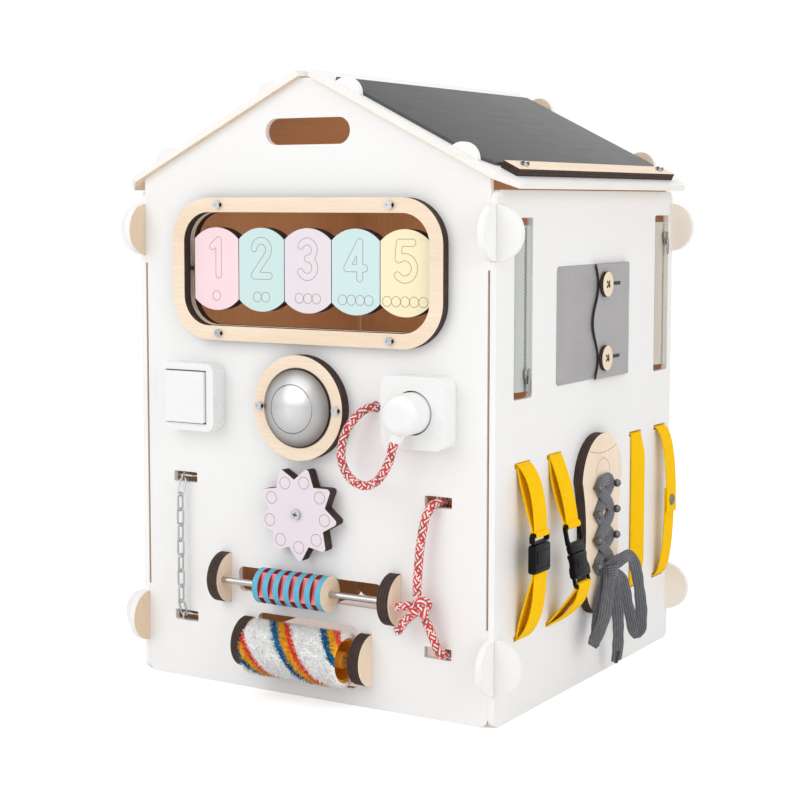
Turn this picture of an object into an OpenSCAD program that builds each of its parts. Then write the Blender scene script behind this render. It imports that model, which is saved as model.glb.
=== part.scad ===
// Wooden activity house for small children. Four plywood walls and two roof panels lock
// together with half-round tabs, and carry play pieces on the front, the right and the roof.
// +X is right as seen from the front, +Y runs to the back and +Z is up. The origin is the
// middle of the front wall's bottom edge. Sizes are in millimetres.

/* [House] */
// Width across the outer faces of the side walls
house_w = 400; // [380:1:440]
// Depth across the outer faces of the front and back walls
house_d = 406; // [396:1:440]
// Height of the gables' point above the window frame
gable_rise = 115.25; // [104:0.25:140]
// Slope of the roof in degrees
roof_pitch = 26.5; // [25.5:0.5:28]
// Thickness of the wall and roof plywood
ply_t = 6; // [5.6:0.1:6.6]
// Radius of the walls' bottom corners
foot_r = 10; // [4:1:16]
// How far the front and back walls are cut back between the corner tabs
edge_relief = 1.5; // [1:0.5:6]
// Distance from the outer edge of a side wall's top up to the roof panel
eave_gap = 9; // [6:0.5:14]
// Play between plywood pieces that are pushed together
joint_fit = 0.15; // [0.05:0.05:0.3]

/* [Tabs] */
// Radius of the half-round tabs at the corners
corner_tab_r = 25; // [18:1:30]
// Height of the lower corner tabs' centres
corner_tab_low = 57; // [45:1:64]
// Distance of the upper corner tabs' centres below the side walls' top
corner_tab_drop = 38; // [32:1:50]
// Radius of the small eye where two corner tabs cross
tab_eye_r = 2; // [1:0.5:3]
// Radius of the half-round tabs that stand through the roof
roof_tab_r = 16; // [14:1:22]
// Distance down the slope from the ridge to the upper roof tabs
roof_tab_upper = 47; // [40:1:60]
// Distance down the slope from the ridge to the lower roof tabs
roof_tab_lower = 184; // [160:1:188]

/* [Roof] */
// Length of the slope from the ridge to the end of a roof panel
roof_len = 242; // [236:1:270]
// Distance down the slope from the ridge to the start of a roof panel
ridge_gap = 6; // [4:0.5:14]
// How far the roof stands out past the front and back walls
roof_overhang = 7; // [5:0.5:16]
// Cut across the roof panels' outer corners
roof_chamfer = 18; // [6:1:24]
// Distance down the slope from the ridge to the blackboard
board_top = 27; // [22:1:60]
// Length of the blackboard down the slope
board_len = 180; // [120:1:181]
// Thickness of the blackboard
board_t = 3; // [2:0.5:4]
// Gap between the blackboard and the roof tabs
board_gap = 1.5; // [1:0.5:8]
// Cut across the blackboard's lower corners
board_chamfer = 12; // [4:1:20]
// Gap between the blackboard and the chalk ledge
ledge_gap = 4; // [1:0.5:5]
// Width of the chalk ledge down the slope
ledge_w = 18; // [14:1:22]
// Thickness of the chalk ledge
ledge_t = 7; // [5:0.5:9]
// Distance from the front and back walls to the ends of the chalk ledge
ledge_inset = 20; // [10:1:60]

/* [Hand-hold] */
// Length of the hand-hold slots in the gables
hold_l = 95; // [80:1:120]
// Height of the hand-hold slots
hold_h = 25; // [20:0.5:30]
// Distance from the ridge down to the hand-holds' centres
hold_drop = 53.5; // [50:0.5:56]

/* [Window] */
// Gap between the push light's ring and the window frame
window_gap = 10.25; // [5:0.25:20]
// Width of the window frame
frame_w = 304; // [300:1:320]
// Height of the window frame
frame_h = 137.5; // [130:0.5:140]
// Width of the frame's band
frame_band = 14; // [11:0.5:15]
// Thickness of the window frame
frame_t = 10; // [8:0.5:12]
// Outer corner radius of the window frame
frame_r = 43; // [30:1:46]
// How far the wall's opening lies outside the frame's opening
frame_lip = 2; // [1:0.5:3]
// Thickness of the backing frame behind the wall
backing_t = 8; // [6:0.5:10]
// Distance of the frame's screws from the frame's ends
frame_screw_inset = 55.5; // [48:0.5:80]
// Diameter of the rod that carries the number tiles
rod_d = 5; // [4:0.1:5.4]
// How far the rod's ends reach into the wall
rod_seat = 6; // [4:0.5:8]
// Gap between the first tile and the frame
tile_start = 7.8; // [2:0.1:12]
// Gap between the last tile and the frame
tile_end = 3.4; // [2:0.1:12]
// Height of a number tile
tile_h = 80; // [60:0.5:90]
// Thickness of a number tile
tile_t = 12; // [9:0.5:14]
// Rise of the curved top and bottom of a tile
tile_arc = 11; // [4:0.5:14]
// Gap between neighbouring tiles
tile_gap = 0.8; // [0.5:0.1:1.5]

/* [Switch and socket] */
// Height of the switch and the socket above the push light's centre
fixture_rise = 4.5; // [-4:0.5:8]
// Sideways place of the switch
switch_x = -130; // [-140:1:-110]
// Sideways place of the socket
socket_x = 127; // [118:1:132]
// Width and height of the square boxes
box_w = 66; // [62:0.5:70]
// Corner radius of the boxes
box_r = 9; // [4:0.5:14]
// Depth of the switch box
switch_d = 20; // [18:0.5:24]
// Width of the rocker
rocker_w = 47; // [36:0.5:50]
// Height of the rocker
rocker_h = 50; // [40:0.5:52]
// Gap round the rocker
rocker_gap = 1.2; // [1.1:0.1:2]
// Diameter of the rocker's pivot pins
rocker_pin_d = 4; // [3:0.5:5]
// Depth of the socket box
socket_d = 22; // [18:0.5:26]
// Diameter of the socket's recess
recess_d = 40.5; // [39.5:0.5:46]
// Diameter of the plug
plug_d = 38; // [34:0.5:39]
// How far the plug's front stands off the wall
plug_reach = 50; // [46:0.5:56]
// Diameter of the plug's pins
pin_d = 4.8; // [4:0.1:5]
// Length of the plug's pins
pin_l = 19; // [12:0.5:22]
// Distance between the plug's pins
pin_pitch = 19; // [16:0.5:22]
// Diameter of the plug's cord and of the rope
cord_d = 8; // [6:0.5:9]

/* [Push light] */
// Sideways place of the push light
light_x = -4; // [-8:0.5:8]
// Gap between the star wheel and the push light's ring
light_gap = 6; // [3:0.5:16]
// Outer diameter of the plywood ring
ring_d = 100; // [94:1:104]
// Thickness of the plywood ring
ring_t = 12; // [8:0.5:14]
// Diameter of the light
light_d = 73; // [66:0.5:76]
// Height of the light's base
light_base_h = 14; // [13.5:0.5:16]
// Height of the dome on the base
dome_h = 13; // [10:0.5:16]
// Diameter of the cap that is pressed
cap_d = 46; // [36:0.5:50]
// Gap round the cap
cap_gap = 0.4; // [0.3:0.1:0.8]
// Wall of the light's base, bezel and cap
light_wall = 2; // [1.5:0.1:2.5]

/* [Star wheel] */
// Sideways place of the star wheel
star_x = -4; // [-8:0.5:8]
// Turn of the star wheel as it rests, in degrees
star_turn = 4.5; // [0:0.5:40]
// Gap between the upper brackets and the star wheel
star_gap = 3; // [2:0.5:12]
// Radius of the points
star_tip = 45; // [40:0.5:46]
// Radius between the points
star_root = 33; // [30:0.5:39]
// Number of points
star_points = 9; // [7:1:11]
// Thickness of the star wheel
star_t = 12; // [8:0.5:14]
// Radius of the points' rounding
star_tip_r = 3.5; // [2:0.5:5]
// Thickness of the washer behind the star wheel
star_washer_t = 2; // [1:0.5:4]
// Diameter of the star wheel's bolt
star_bolt_d = 5; // [4:0.5:6]

/* [Rollers] */
// Radius of the half-round brackets
bracket_r = 24.5; // [22:0.5:25]
// Thickness of the brackets
bracket_t = 12; // [9:0.5:14]
// Diameter of the rollers' rods
axle_d = 6; // [5:0.5:7]
// Distance of the rods from the wall's face
axle_off = 14; // [13:0.5:15.5]
// Play round a turning rod or in a roller's bore
running_fit = 0.06; // [0.03:0.01:0.1]
// Gap between the upper and the lower brackets
bracket_gap = 12; // [6:0.5:20]
// Distance between the upper brackets
upper_span = 182; // [176:1:186]
// Diameter of the striped drum
drum_d = 34; // [30:0.5:36]
// Length of the striped drum
drum_l = 78; // [70:1:100]
// Sideways place of the striped drum at rest
drum_x = -5.5; // [-20:0.5:0]
// Number of bands on the drum
drum_bands = 7; // [5:1:9]
// Width of the grooves between the bands
groove_w = 5.8; // [3:0.1:7]
// Depth of the grooves at the middle of each flat of the square core
groove_depth = 5; // [2:0.5:6]
// Distance from the upper brackets to the slot behind the striped drum
upper_slot_side = 9; // [4:0.5:12]
// Room above and below the striped drum in its slot
upper_slot_room = 2.4; // [1.5:0.1:5]
// Height of the lower brackets above the floor
lower_gap = 22; // [12:0.5:30]
// Sideways place of the lower roller
lower_x = -2; // [-6:0.5:6]
// Distance between the lower brackets
lower_span = 122; // [118:1:130]
// Diameter of the pile sleeve
sleeve_d = 51; // [46:0.5:53]
// Length of the pile sleeve
sleeve_l = 108; // [100:1:110]
// Diameter of the roller's core
core_d = 42; // [34:0.5:44]
// How far the core stays inside the sleeve at each end
core_inset = 3; // [1:0.5:6]
// Distance from the lower brackets to the slot behind the pile sleeve
lower_slot_side = 4; // [2:0.5:5]
// Room above and below the pile sleeve in its slot
lower_slot_room = 8.7; // [6:0.1:9.5]

/* [Chain and rope slots] */
// Width of the slots
slot_w = 28.5; // [26:0.5:32]
// Height of the slots
slot_h = 10.5; // [10:0.5:13]
// Height of the lower slots above the lower roller
slot_rise = 16; // [10:0.5:24]
// Distance from the lower to the upper slots
slot_run = 140; // [136:0.5:144]
// Distance from the upper brackets to the middle of the chain
chain_gap = 43.5; // [30:0.5:50]
// Distance from the upper brackets to the middle of the rope's slots
rope_gap = 39; // [38:0.5:46]
// Thickness of the chain's wire
chain_wire = 1.9; // [1.6:0.1:2]
// Number of links, an odd number
chain_links = 11; // [11:2:15]
// Width of a link
link_w = 8.8; // [8.6:0.1:9.4]
// Slack between two links
link_slack = 0.8; // [0.4:0.1:0.8]
// Distance of the hanging chain from the wall's face
chain_off = 9; // [8.5:0.5:10]

/* [Zips] */
// Distance from the front face to the middle of the front zip and front strap
front_column = 53.5; // [44:0.5:56]
// Distance from the back face to the middle of the rear zip and rear strap
rear_column = 29; // [27:0.5:40]
// Width of the openings for the zips
zip_w = 37; // [30:0.5:40]
// Height of the openings for the zips
zip_h = 165; // [150:1:170]
// Distance of the zips' openings below the side wall's top
zip_drop = 25; // [18:0.5:36]
// How far the zip's tape reaches past the opening's sides
tape_margin = 6; // [4:0.5:7]
// How far the zip's tape bulges out
tape_bulge = 8; // [4:0.5:9]
// Thickness of the zip's tape
tape_t = 1; // [0.8:0.1:1.5]
// Width of one side of the zip's teeth
teeth_w = 2.2; // [1.6:0.1:2.6]
// Height of the zip's teeth
teeth_h = 1.8; // [1.2:0.1:2]
// Width of a zip slider
slider_w = 10; // [9:0.5:12]
// Length of a zip slider
slider_l = 14; // [10:0.5:16]
// Length of a zip's pull
pull_l = 24; // [14:1:30]

/* [Pouch] */
// Distance from the front face to the middle of the pouch
pouch_y = 204.5; // [200:0.5:208]
// Width of the pouch's opening
pouch_w = 161; // [150:1:164]
// Height of the pouch's opening
pouch_h = 110; // [100:1:120]
// Height of the pouch's opening above the bottom of the zips' openings
pouch_rise = 7; // [0:0.5:10]
// Thickness of the pouch's leathercloth
cloth_t = 2; // [1.5:0.1:2.4]
// How far the pouch's panel stands out of the wall
pouch_bulge = 3; // [1:0.5:5]
// Width of the flap
flap_w = 86; // [80:1:96]
// Diameter of the wooden buttons
button_d = 25; // [20:0.5:28]
// Thickness of the wooden buttons
button_t = 4; // [3:0.5:5]
// Distance of the buttons above and below the pouch's middle
button_rise = 36.5; // [30:0.5:40]

/* [Straps] */
// Width of the webbing
strap_w = 25; // [20:0.5:28]
// Thickness of the webbing
strap_t = 1.6; // [1.2:0.1:2]
// Width of the slots for the straps
strap_slot_w = 31; // [30:0.5:34]
// Height of the slots for the straps
strap_slot_h = 5; // [4:0.5:6]
// Height of the lower strap slots
strap_low = 75; // [70:1:84]
// Distance from the lower to the upper strap slots
strap_run = 160; // [156:1:166]
// Distance from the front face to the middle of the second strap
strap_2_y = 120; // [112:0.5:122]
// Length of webbing fixed behind the wall at each end
strap_tail = 25; // [15:1:40]
// How far the first strap stands off the wall
strap_1_off = 18; // [16:0.5:24]
// How far the fourth strap stands off the wall
strap_4_off = 15; // [12:0.5:18]
// Width of the buckles
buckle_w = 33; // [31:0.5:36]
// Thickness of the buckles
buckle_t = 7.5; // [7:0.5:11]
// Lean of the side-release buckle in degrees
buckle_lean = 12; // [10:1:20]

/* [Shoe] */
// Distance from the front face to the middle of the shoe board
shoe_y = 210; // [206:0.5:214]
// Thickness of the shoe board
shoe_t = 10; // [8:0.5:12]
// Radius of the shoe board's toe
toe_r = 47; // [42:0.5:48]
// Distance from the heel's centre up to the toe's centre
shoe_rise = 98; // [92:1:104]
// Radius of the shoe board's heel
heel_r = 36; // [32:0.5:38]
// Height of the heel's centre above the lower strap slots
heel_rise = 27; // [22:1:34]
// Half the width of the shoe board's waist
waist = 38; // [35:0.5:40]
// Distance between the two columns of lace hooks
hook_span = 42; // [40:0.5:46]
// Distance between the rows of lace hooks
hook_pitch = 26; // [24:0.5:27]
// Distance of the top row of lace hooks below the toe's centre
hook_drop = 5; // [0:1:12]

/* [Screws] */
// Diameter of a wood screw's shank
screw_d = 3.5; // [3:0.1:4]
// Diameter of a wood screw's head
screw_head_d = 8; // [6:0.5:9]
// Height of a wood screw's head
screw_head_h = 2.6; // [2:0.1:3.5]
// How far a screw goes into its last piece
screw_bite = 5; // [3:0.5:5.2]

/* [Hidden] */
$fn = 64;
// Depth by which a cut passes the face that it starts from
eps = 1;
// Room between soft pieces and what they lie on
seat = 0.1;
front_y = -ply_t / 2;
back_y = house_d - ply_t / 2;
back_mid = house_d - ply_t;
side_x = house_w / 2;
// Half the width of the front and back walls between the side walls
inner_x = side_x - ply_t - joint_fit;
// Heights on the front, from the floor up
lower_z = lower_gap + bracket_r;
upper_z = lower_z + 2 * bracket_r + bracket_gap;
star_z = upper_z + bracket_r + star_gap + star_tip;
light_z = star_z + star_tip + light_gap + ring_d / 2;
fixture_z = light_z + fixture_rise;
window_z = light_z + ring_d / 2 + window_gap + frame_h / 2;
ridge_h = window_z + frame_h / 2 + gable_rise;
slot_low = lower_z + slot_rise;
slot_high = slot_low + slot_run;
side_h = ridge_h - side_x * tan(roof_pitch) - eave_gap;
corner_tab_high = side_h - corner_tab_drop;
corner_tabs = [corner_tab_low, corner_tab_high];
roof_tabs = [roof_tab_upper, roof_tab_lower];
// The seam is open between the tabs from this far past them
relief_clear = 8;
ridge_flat = 4;
// Window
window_w = frame_w - 2 * frame_band;
window_h = frame_h - 2 * frame_band;
window_r = frame_r - frame_band;
opening_w = window_w + 2 * frame_lip;
opening_h = window_h + 2 * frame_lip;
frame_screw_x = frame_w / 2 - frame_screw_inset;
frame_screw_z = (frame_h - frame_band) / 2;
tile_count = 5;
tile_pitch = (window_w - tile_start - tile_end + tile_gap) / tile_count;
tile_w = tile_pitch - tile_gap;
tile_fit = 0.1;
tile_cap_r = (tile_w * tile_w / 4 + tile_arc * tile_arc) / (2 * tile_arc);
tile_colours = ["pink", "paleturquoise", "thistle", "lightblue", "khaki"];
// Switch and socket
rocker_axis = 12;
rocker_front = 3;
rocker_back = 4;
switch_floor = 4;
recess_floor = 8;
plug_gap = 0.5;
pin_fit = 0.2;
plug_round = 9;
relief_d = 13;
relief_root_d = 23;
relief_l = 7;
// The plug's cord leaves it here, turned from straight down, and this far off the wall
cord_turn = -20;
cord_off = 37;
cord_knot_d = 15;
cord_room = 1;
// Push light
light_fit = 0.5;
dome_r = (light_d * light_d / 4 + dome_h * dome_h) / (2 * dome_h);
cap_flange = 1.5;
cap_flange_t = 1.5;
cell_d = 10;
cell_l = 44;
// Rollers
axle_y = front_y - axle_off;
axle_seat = 8;
axle_end = 0.3;
function slot_height(d, room) = 2 * sqrt(max(0, d * d / 4 - axle_off * axle_off)) + 2 * room;
upper_slot_w = upper_span - 2 * upper_slot_side;
upper_slot_h = slot_height(drum_d, upper_slot_room);
// Turn of the drum's square core, so that one flat looks forward and a little up
core_tilt = -15;
lower_slot_w = lower_span - 2 * lower_slot_side;
lower_slot_h = slot_height(sleeve_d, lower_slot_room);
core_wall = 2.5;
core_hub_d = 16;
core_cup = 14;
chain_x = -upper_span / 2 - bracket_t - chain_gap;
rope_x = upper_span / 2 + bracket_t + rope_gap;
// Chain: it hangs straight between two bends that lead it into the slots
chain_bend = chain_off + ply_t / 2 + 0.2;
chain_drop = slot_high - slot_low - 2 * chain_bend;
chain_run = chain_drop + PI * chain_bend;
link_pitch = chain_run / (chain_links - 1);
link_inner = link_pitch + link_slack;
chain_pin_d = 4;
chain_pin_l = slot_w + 12;
// Zips
front_zip_y = front_y + front_column;
rear_zip_y = back_y - rear_column;
zip_split = 0.2;
slider_fit = 0.3;
slider_t = 4.4;
pull_w = 6;
pull_t = 1.2;
tape_short = 7;
zip_z = side_h - zip_drop - zip_h / 2;
tape_rest = -ply_t - seat - tape_t / 2;
tape_crest = tape_rest + tape_bulge;
slider_base = tape_crest + tape_t / 2 + slider_fit;
front_slider_z = zip_z - zip_h / 2 + 11;
rear_slider_z = zip_z + zip_h / 2 - 24;
// Pouch
pouch_mid = front_y + pouch_y;
pouch_z = zip_z - zip_h / 2 + pouch_rise + pouch_h / 2;
pouch_edge = 6;
flap_out = pouch_bulge + 0.5;
flap_hinge = pouch_mid + pouch_w / 2 - 1.8;
flap_hinge_r = 1.5;
flap_wave = 7;
button_place = pouch_mid + 14;
button_shank_d = 4;
slit_l = 34;
slit_h = 6;
// Straps
strap_high = strap_low + strap_run;
strap_2_mid = front_y + strap_2_y;
// The third strap lies between the shoe and the rear strap
strap_3_shift = -4.5;
strap_3_mid = (front_y + shoe_y + toe_r + rear_zip_y) / 2 + strap_3_shift;
// Half the distance between the two layers of a doubled strap, and their spread at mid run
layer = 1.1;
layer_spread = 4;
layer_drop = 12;
strap_rest = 1.8;
strap_gap = 0.8;
// Rounded fold on which the snap strap swings
strap_fold_d = 3.2;
strap_mid_z = (strap_high + strap_low) / 2;
buckle_1_top = 19;
buckle_1_bottom = -18;
buckle_2_rise = 67.4;
buckle_2_z = strap_low + buckle_2_rise;
buckle_2_off = 24.7;
buckle_2_half = 30;
buckle_fit = 0.35;
blade_w = 18;
blade_t = 2.6;
prong_w = 4.4;
prong_x = 9.3;
prong_l = 13;
body_top = 9;
blade_reach = 9;
buckle_play = 0.4;
lead_high = 32;
lead_low = 22;
lead_tuck = 9;
lead_drop = 12;
male_mid = 8.5;
male_window = 13;
female_top = 2;
ladder_h = 4.5;
ladder_low = 3;
ladder_high = 10;
side_low = -9;
side_high = -3;
snap_rise = 82;
snap_z = strap_low + snap_rise;
snap_lap = 13;
snap_d = 12;
snap_t = 2;
// Shoe
shoe_mid = front_y + shoe_y;
heel_z = strap_low + heel_rise;
toe_z = heel_z + shoe_rise;
hook_top = toe_z - hook_drop;
hook_rows = 4;
hook_post_r = 2.2;
hook_head_r = 4;
lace_w = 10;
lace_t = 2.4;
// Routes: sideways, height and distance off the wall's face
// The plug's cord, measured from the middle of the socket
PLUG_CORD_END = [[-51.5, 0.5, -16], [-51.5, 0.5, -6], [-52, 0.5, 3], [-58, -2.5, 12],
    [-67, -14.5, 20], [-72, -30.5, 25], [-72, -47.5, 27], [-62, -62.5, 29], [-45, -68.5, 31],
    [-29, -61.5, 33], [-17, -45.5, 35]];
cord_hole_x = socket_x + PLUG_CORD_END[0][0];
cord_hole_z = fixture_z + PLUG_CORD_END[0][1];
// The rope, measured from the middle of the upper slot and then of the lower slot
ROPE_TOP = [[-13, -84.5, 16], [-12, -65.5, 16], [-10.5, -37.5, 14], [-7, -15.5, 12],
    [-3, -3.5, 8], [-1, 0, 0], [-1, 0, -8], [0, -5.5, -16], [0, -32.5, -19]];
ROPE_LOW = [[1, 32.5, -19], [4, 6.5, -16], [7, 0, -8], [7, 0, 0], [6, 3.5, 8], [2, 15.5, 11],
    [-5, 33.5, 14]];
ROPE_TAILS = [[[-12, -94.5, 17], [-22, -94.5, 19], [-32, -96.5, 19]],
    [[-12, -98.5, 16], [-23, -107.5, 18], [-32, -119.5, 18]]];
ROPE_KNOT = [-9, -95.5, 16];
rope_knot_r = 11.5;
// The shoelace, measured from the shoe board's middle and the lower strap slots
LACE_KNOT = [-5, 35, 21];
lace_knot_r = 6.5;
LACE_LOOPS = [
    [[-5, 35, 21], [-16, 23, 25], [-32, -3, 28], [-46, -19, 27], [-44, -26, 24], [-32, -19, 20],
        [-20, 5, 17], [-7, 33, 18]],
    [[-5, 35, 21], [8, 46, 27], [24, 47, 30], [38, 29, 31], [50, -5, 31], [54, -33, 29],
        [48, -34, 25], [40, -9, 22], [24, 23, 21], [-3, 34, 18]],
    [[-5, 35, 21], [2, 13, 24], [10, -17, 24], [19, -47, 20], [22, -61, 17]],
    [[-5, 35, 19], [-12, 17, 15], [-20, -9, 14], [-24, -29, 14]]];

// Places: local x and y lie in the wall's face and local z points out of it
module on_front(x = 0, z = 0) {
    translate([x, front_y, z]) rotate([90, 0, 0]) children();
}

module on_right(y = 0, z = 0) {
    translate([side_x, y, z]) rotate([90, 0, 90]) children();
}

// Local x runs down the slope, local y to the back and local z out of the roof
module on_roof(side = 1) {
    mirror([side < 0 ? 1 : 0, 0, 0]) translate([0, 0, ridge_h]) rotate([0, roof_pitch, 0])
        children();
}

// Flat shapes
module round_rect(w, h, r) {
    square([w - 2 * r, h], center = true);
    square([w, h - 2 * r], center = true);
    for (x = [-1, 1], y = [-1, 1]) translate([x * (w / 2 - r), y * (h / 2 - r)]) circle(r = r);
}

module centred_rect(w, h) {
    square([w, h], center = true);
}

module half_disc(r, side) {
    intersection() {
        circle(r = r);
        translate([side > 0 ? 0 : -r, -r]) square([r, 2 * r]);
    }
}

// Curves and swept tubes
function unit(v) = v / norm(v);
function across(v) = [-v[1], v[0]];
function curve(a, b, c, n = 10) =
    [for (i = [0:n]) let (s = i / n) (1 - s) * (1 - s) * a + 2 * s * (1 - s) * b + s * s * c];
function corner_normal(p, i) =
    let (last = len(p) - 1,
        a = across(i == 0 ? unit(p[1] - p[0]) : unit(p[i] - p[i - 1])),
        b = across(i == last ? unit(p[i] - p[i - 1]) : unit(p[i + 1] - p[i])),
        m = unit(a + b)) m / (m * a);
function band(p, t) = concat(
    [for (i = [0:len(p) - 1]) p[i] + corner_normal(p, i) * t / 2],
    [for (i = [len(p) - 1:-1:0]) p[i] - corner_normal(p, i) * t / 2]);
function at(p, i) = p[max(0, min(len(p) - 1, i))];
function spline(p, i, s) =
    let (a = at(p, i - 1), b = at(p, i), c = at(p, i + 1), d = at(p, i + 2))
    b + s * (c - a) / 2 + s * s * (2 * a - 5 * b + 4 * c - d) / 2
    + s * s * s * (3 * b - a - 3 * c + d) / 2;
function smooth(p, n) = concat(
    [for (i = [0:len(p) - 2], k = [0:n - 1]) spline(p, i, k / n)], [p[len(p) - 1]]);
function heading(p, i) = unit(at(p, i + 1) - at(p, i - 1));

// A closed tube along points, w wide across the direction "out" and t thick along it
module swept_tube(points, w, t, sides, out) {
    rings = len(points);
    corners = [for (i = [0:rings - 1]) let (along = heading(points, i),
            wide = unit(cross(along, out)), thick = cross(wide, along))
        for (k = [0:sides - 1]) let (a = 360 * k / sides)
            points[i] + wide * cos(a) * w / 2 + thick * sin(a) * t / 2];
    skin = [for (i = [0:rings - 2], k = [0:sides - 1]) let (n = (k + 1) % sides,
            a = i * sides + k, b = i * sides + n, c = a + sides, d = b + sides)
        each [[a, b, c], [b, d, c]]];
    first = [for (k = [1:sides - 2]) [0, k + 1, k]];
    top = (rings - 1) * sides;
    last = [for (k = [1:sides - 2]) [top, top + k, top + k + 1]];
    polyhedron(corners, concat(skin, first, last));
}

// House walls
module gable() {
    tall = ridge_h - ridge_flat;
    eave = ridge_h - inner_x * tan(roof_pitch);
    flat_x = ridge_flat / tan(roof_pitch);
    difference() {
        union() {
            polygon([[-inner_x + foot_r, 0], [inner_x - foot_r, 0], [inner_x, foot_r],
                [inner_x, eave], [flat_x, tall], [-flat_x, tall], [-inner_x, eave],
                [-inner_x, foot_r]]);
            for (s = [-1, 1]) {
                translate([s * (inner_x - foot_r), foot_r]) circle(r = foot_r);
                for (z = corner_tabs) {
                    translate([s * side_x, z]) half_disc(corner_tab_r, s);
                    translate([s * (side_x + inner_x) / 2, z - corner_tab_r / 2])
                        centred_rect(side_x - inner_x + 2 * joint_fit, corner_tab_r);
                }
                for (u = roof_tabs)
                    translate([s * u * cos(roof_pitch), ridge_h - u * sin(roof_pitch)])
                        circle(r = roof_tab_r);
            }
        }
        for (s = [-1, 1]) {
            for (z = corner_tabs) {
                translate([s * (side_x - ply_t / 2), z + corner_tab_r / 2 + eps / 2])
                    centred_rect(ply_t + 2 * joint_fit, corner_tab_r + eps);
                translate([s * (side_x - ply_t / 2), z]) circle(r = tab_eye_r);
            }
            low = corner_tab_low + corner_tab_r + relief_clear;
            high = corner_tab_high - corner_tab_r - relief_clear;
            translate([s * (inner_x + edge_relief / 2) - s * edge_relief, (low + high) / 2])
                centred_rect(2 * edge_relief, high - low);
        }
        translate([0, ridge_h - hold_drop]) hold_slot();
    }
}

module hold_slot() {
    centred_rect(hold_l - hold_h, hold_h);
    for (s = [-1, 1]) translate([s * (hold_l - hold_h) / 2, 0]) circle(d = hold_h);
}

module side_outline() {
    difference() {
        union() {
            translate([(front_y + back_y) / 2, side_h / 2])
                round_rect(house_d, side_h, foot_r);
            for (z = corner_tabs) {
                translate([front_y, z]) half_disc(corner_tab_r, -1);
                translate([back_y, z]) half_disc(corner_tab_r, 1);
            }
        }
        for (z = corner_tabs, y = [0, back_mid]) {
            translate([y, z - corner_tab_r / 2])
                centred_rect(ply_t + 2 * joint_fit, corner_tab_r + 2 * joint_fit);
            translate([y, z]) circle(r = tab_eye_r);
        }
    }
}

module front_openings() {
    translate([0, window_z]) {
        round_rect(opening_w, opening_h, window_r + frame_lip);
        centred_rect(opening_w + 2 * rod_seat, rod_d + 2 * joint_fit);
        for (s = [-1, 1], t = [-1, 1])
            translate([s * frame_screw_x, t * frame_screw_z]) circle(d = screw_d + 2 * joint_fit);
    }
    for (x = [chain_x, rope_x], z = [slot_high, slot_low])
        translate([x, z]) round_rect(slot_w, slot_h, 1.5);
    translate([0, upper_z]) round_rect(upper_slot_w, upper_slot_h, 6);
    translate([lower_x, lower_z]) round_rect(lower_slot_w, lower_slot_h, 6);
    translate([star_x, star_z]) circle(d = star_bolt_d + 2 * joint_fit);
    translate([cord_hole_x, cord_hole_z]) circle(d = cord_d + 2 * cord_room);
    for (s = [-1, 1]) {
        translate([socket_x + s * pin_pitch / 2, fixture_z]) circle(d = pin_d + 2 * pin_fit);
        translate([light_x + s * ring_screw_x(), light_z]) circle(d = screw_d + 2 * joint_fit);
    }
    for (p = bracket_screws()) translate(p) circle(d = screw_d + 2 * joint_fit);
}

function ring_screw_x() = (ring_d + light_d) / 4;
function bracket_mid(span) = (span + bracket_t) / 2;
function bracket_screws() = [for (s = [-1, 1], t = [-1, 1])
    each [[s * bracket_mid(upper_span), upper_z + t * bracket_r * 0.55],
        [lower_x + s * bracket_mid(lower_span), lower_z + t * bracket_r * 0.55]]];

module front_wall() {
    color("whitesmoke") translate([0, ply_t / 2, 0]) rotate([90, 0, 0]) linear_extrude(ply_t)
        difference() {
            gable();
            front_openings();
        }
}

module back_wall() {
    color("whitesmoke") translate([0, back_y, 0]) rotate([90, 0, 0]) linear_extrude(ply_t)
        gable();
}

module left_wall() {
    color("whitesmoke") translate([-side_x, 0, 0]) rotate([90, 0, 90]) linear_extrude(ply_t)
        side_outline();
}

module right_openings() {
    for (y = [front_zip_y, rear_zip_y]) translate([y, zip_z]) round_rect(zip_w, zip_h, 2.5);
    translate([pouch_mid, pouch_z]) round_rect(pouch_w, pouch_h, 6);
    for (y = [front_zip_y, strap_2_mid, strap_3_mid, rear_zip_y], z = [strap_high, strap_low])
        translate([y, z]) round_rect(strap_slot_w, strap_slot_h, 1);
    for (z = [toe_z + toe_r / 2, heel_z])
        translate([shoe_mid, z]) circle(d = screw_d + 2 * joint_fit);
}

module right_wall() {
    color("whitesmoke") translate([side_x - ply_t, 0, 0]) rotate([90, 0, 90])
        linear_extrude(ply_t) difference() {
            side_outline();
            right_openings();
        }
}

// Roof
module roof_outline() {
    near = front_y - roof_overhang;
    far = back_y + roof_overhang;
    difference() {
        polygon([[ridge_gap, near], [roof_len - roof_chamfer, near],
            [roof_len, near + roof_chamfer], [roof_len, far - roof_chamfer],
            [roof_len - roof_chamfer, far], [ridge_gap, far]]);
        for (u = roof_tabs, y = [0, back_mid]) translate([u, y])
            centred_rect(2 * (roof_tab_r + joint_fit), ply_t + 2 * joint_fit);
    }
}

module left_roof_panel() {
    color("whitesmoke") on_roof(-1) translate([0, 0, seat]) linear_extrude(ply_t)
        roof_outline();
}

module right_roof_panel() {
    color("whitesmoke") on_roof() translate([0, 0, seat]) linear_extrude(ply_t) difference() {
        roof_outline();
        for (p = ledge_screws()) translate(p) circle(d = screw_d + 2 * joint_fit);
    }
}

module blackboard() {
    near = ply_t / 2 + board_gap;
    far = back_mid - ply_t / 2 - board_gap;
    low = board_top + board_len;
    color("dimgray") on_roof() translate([0, 0, ply_t + 2 * seat]) linear_extrude(board_t)
        polygon([[board_top, near], [low - board_chamfer, near], [low, near + board_chamfer],
            [low, far - board_chamfer], [low - board_chamfer, far], [board_top, far]]);
}

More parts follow.
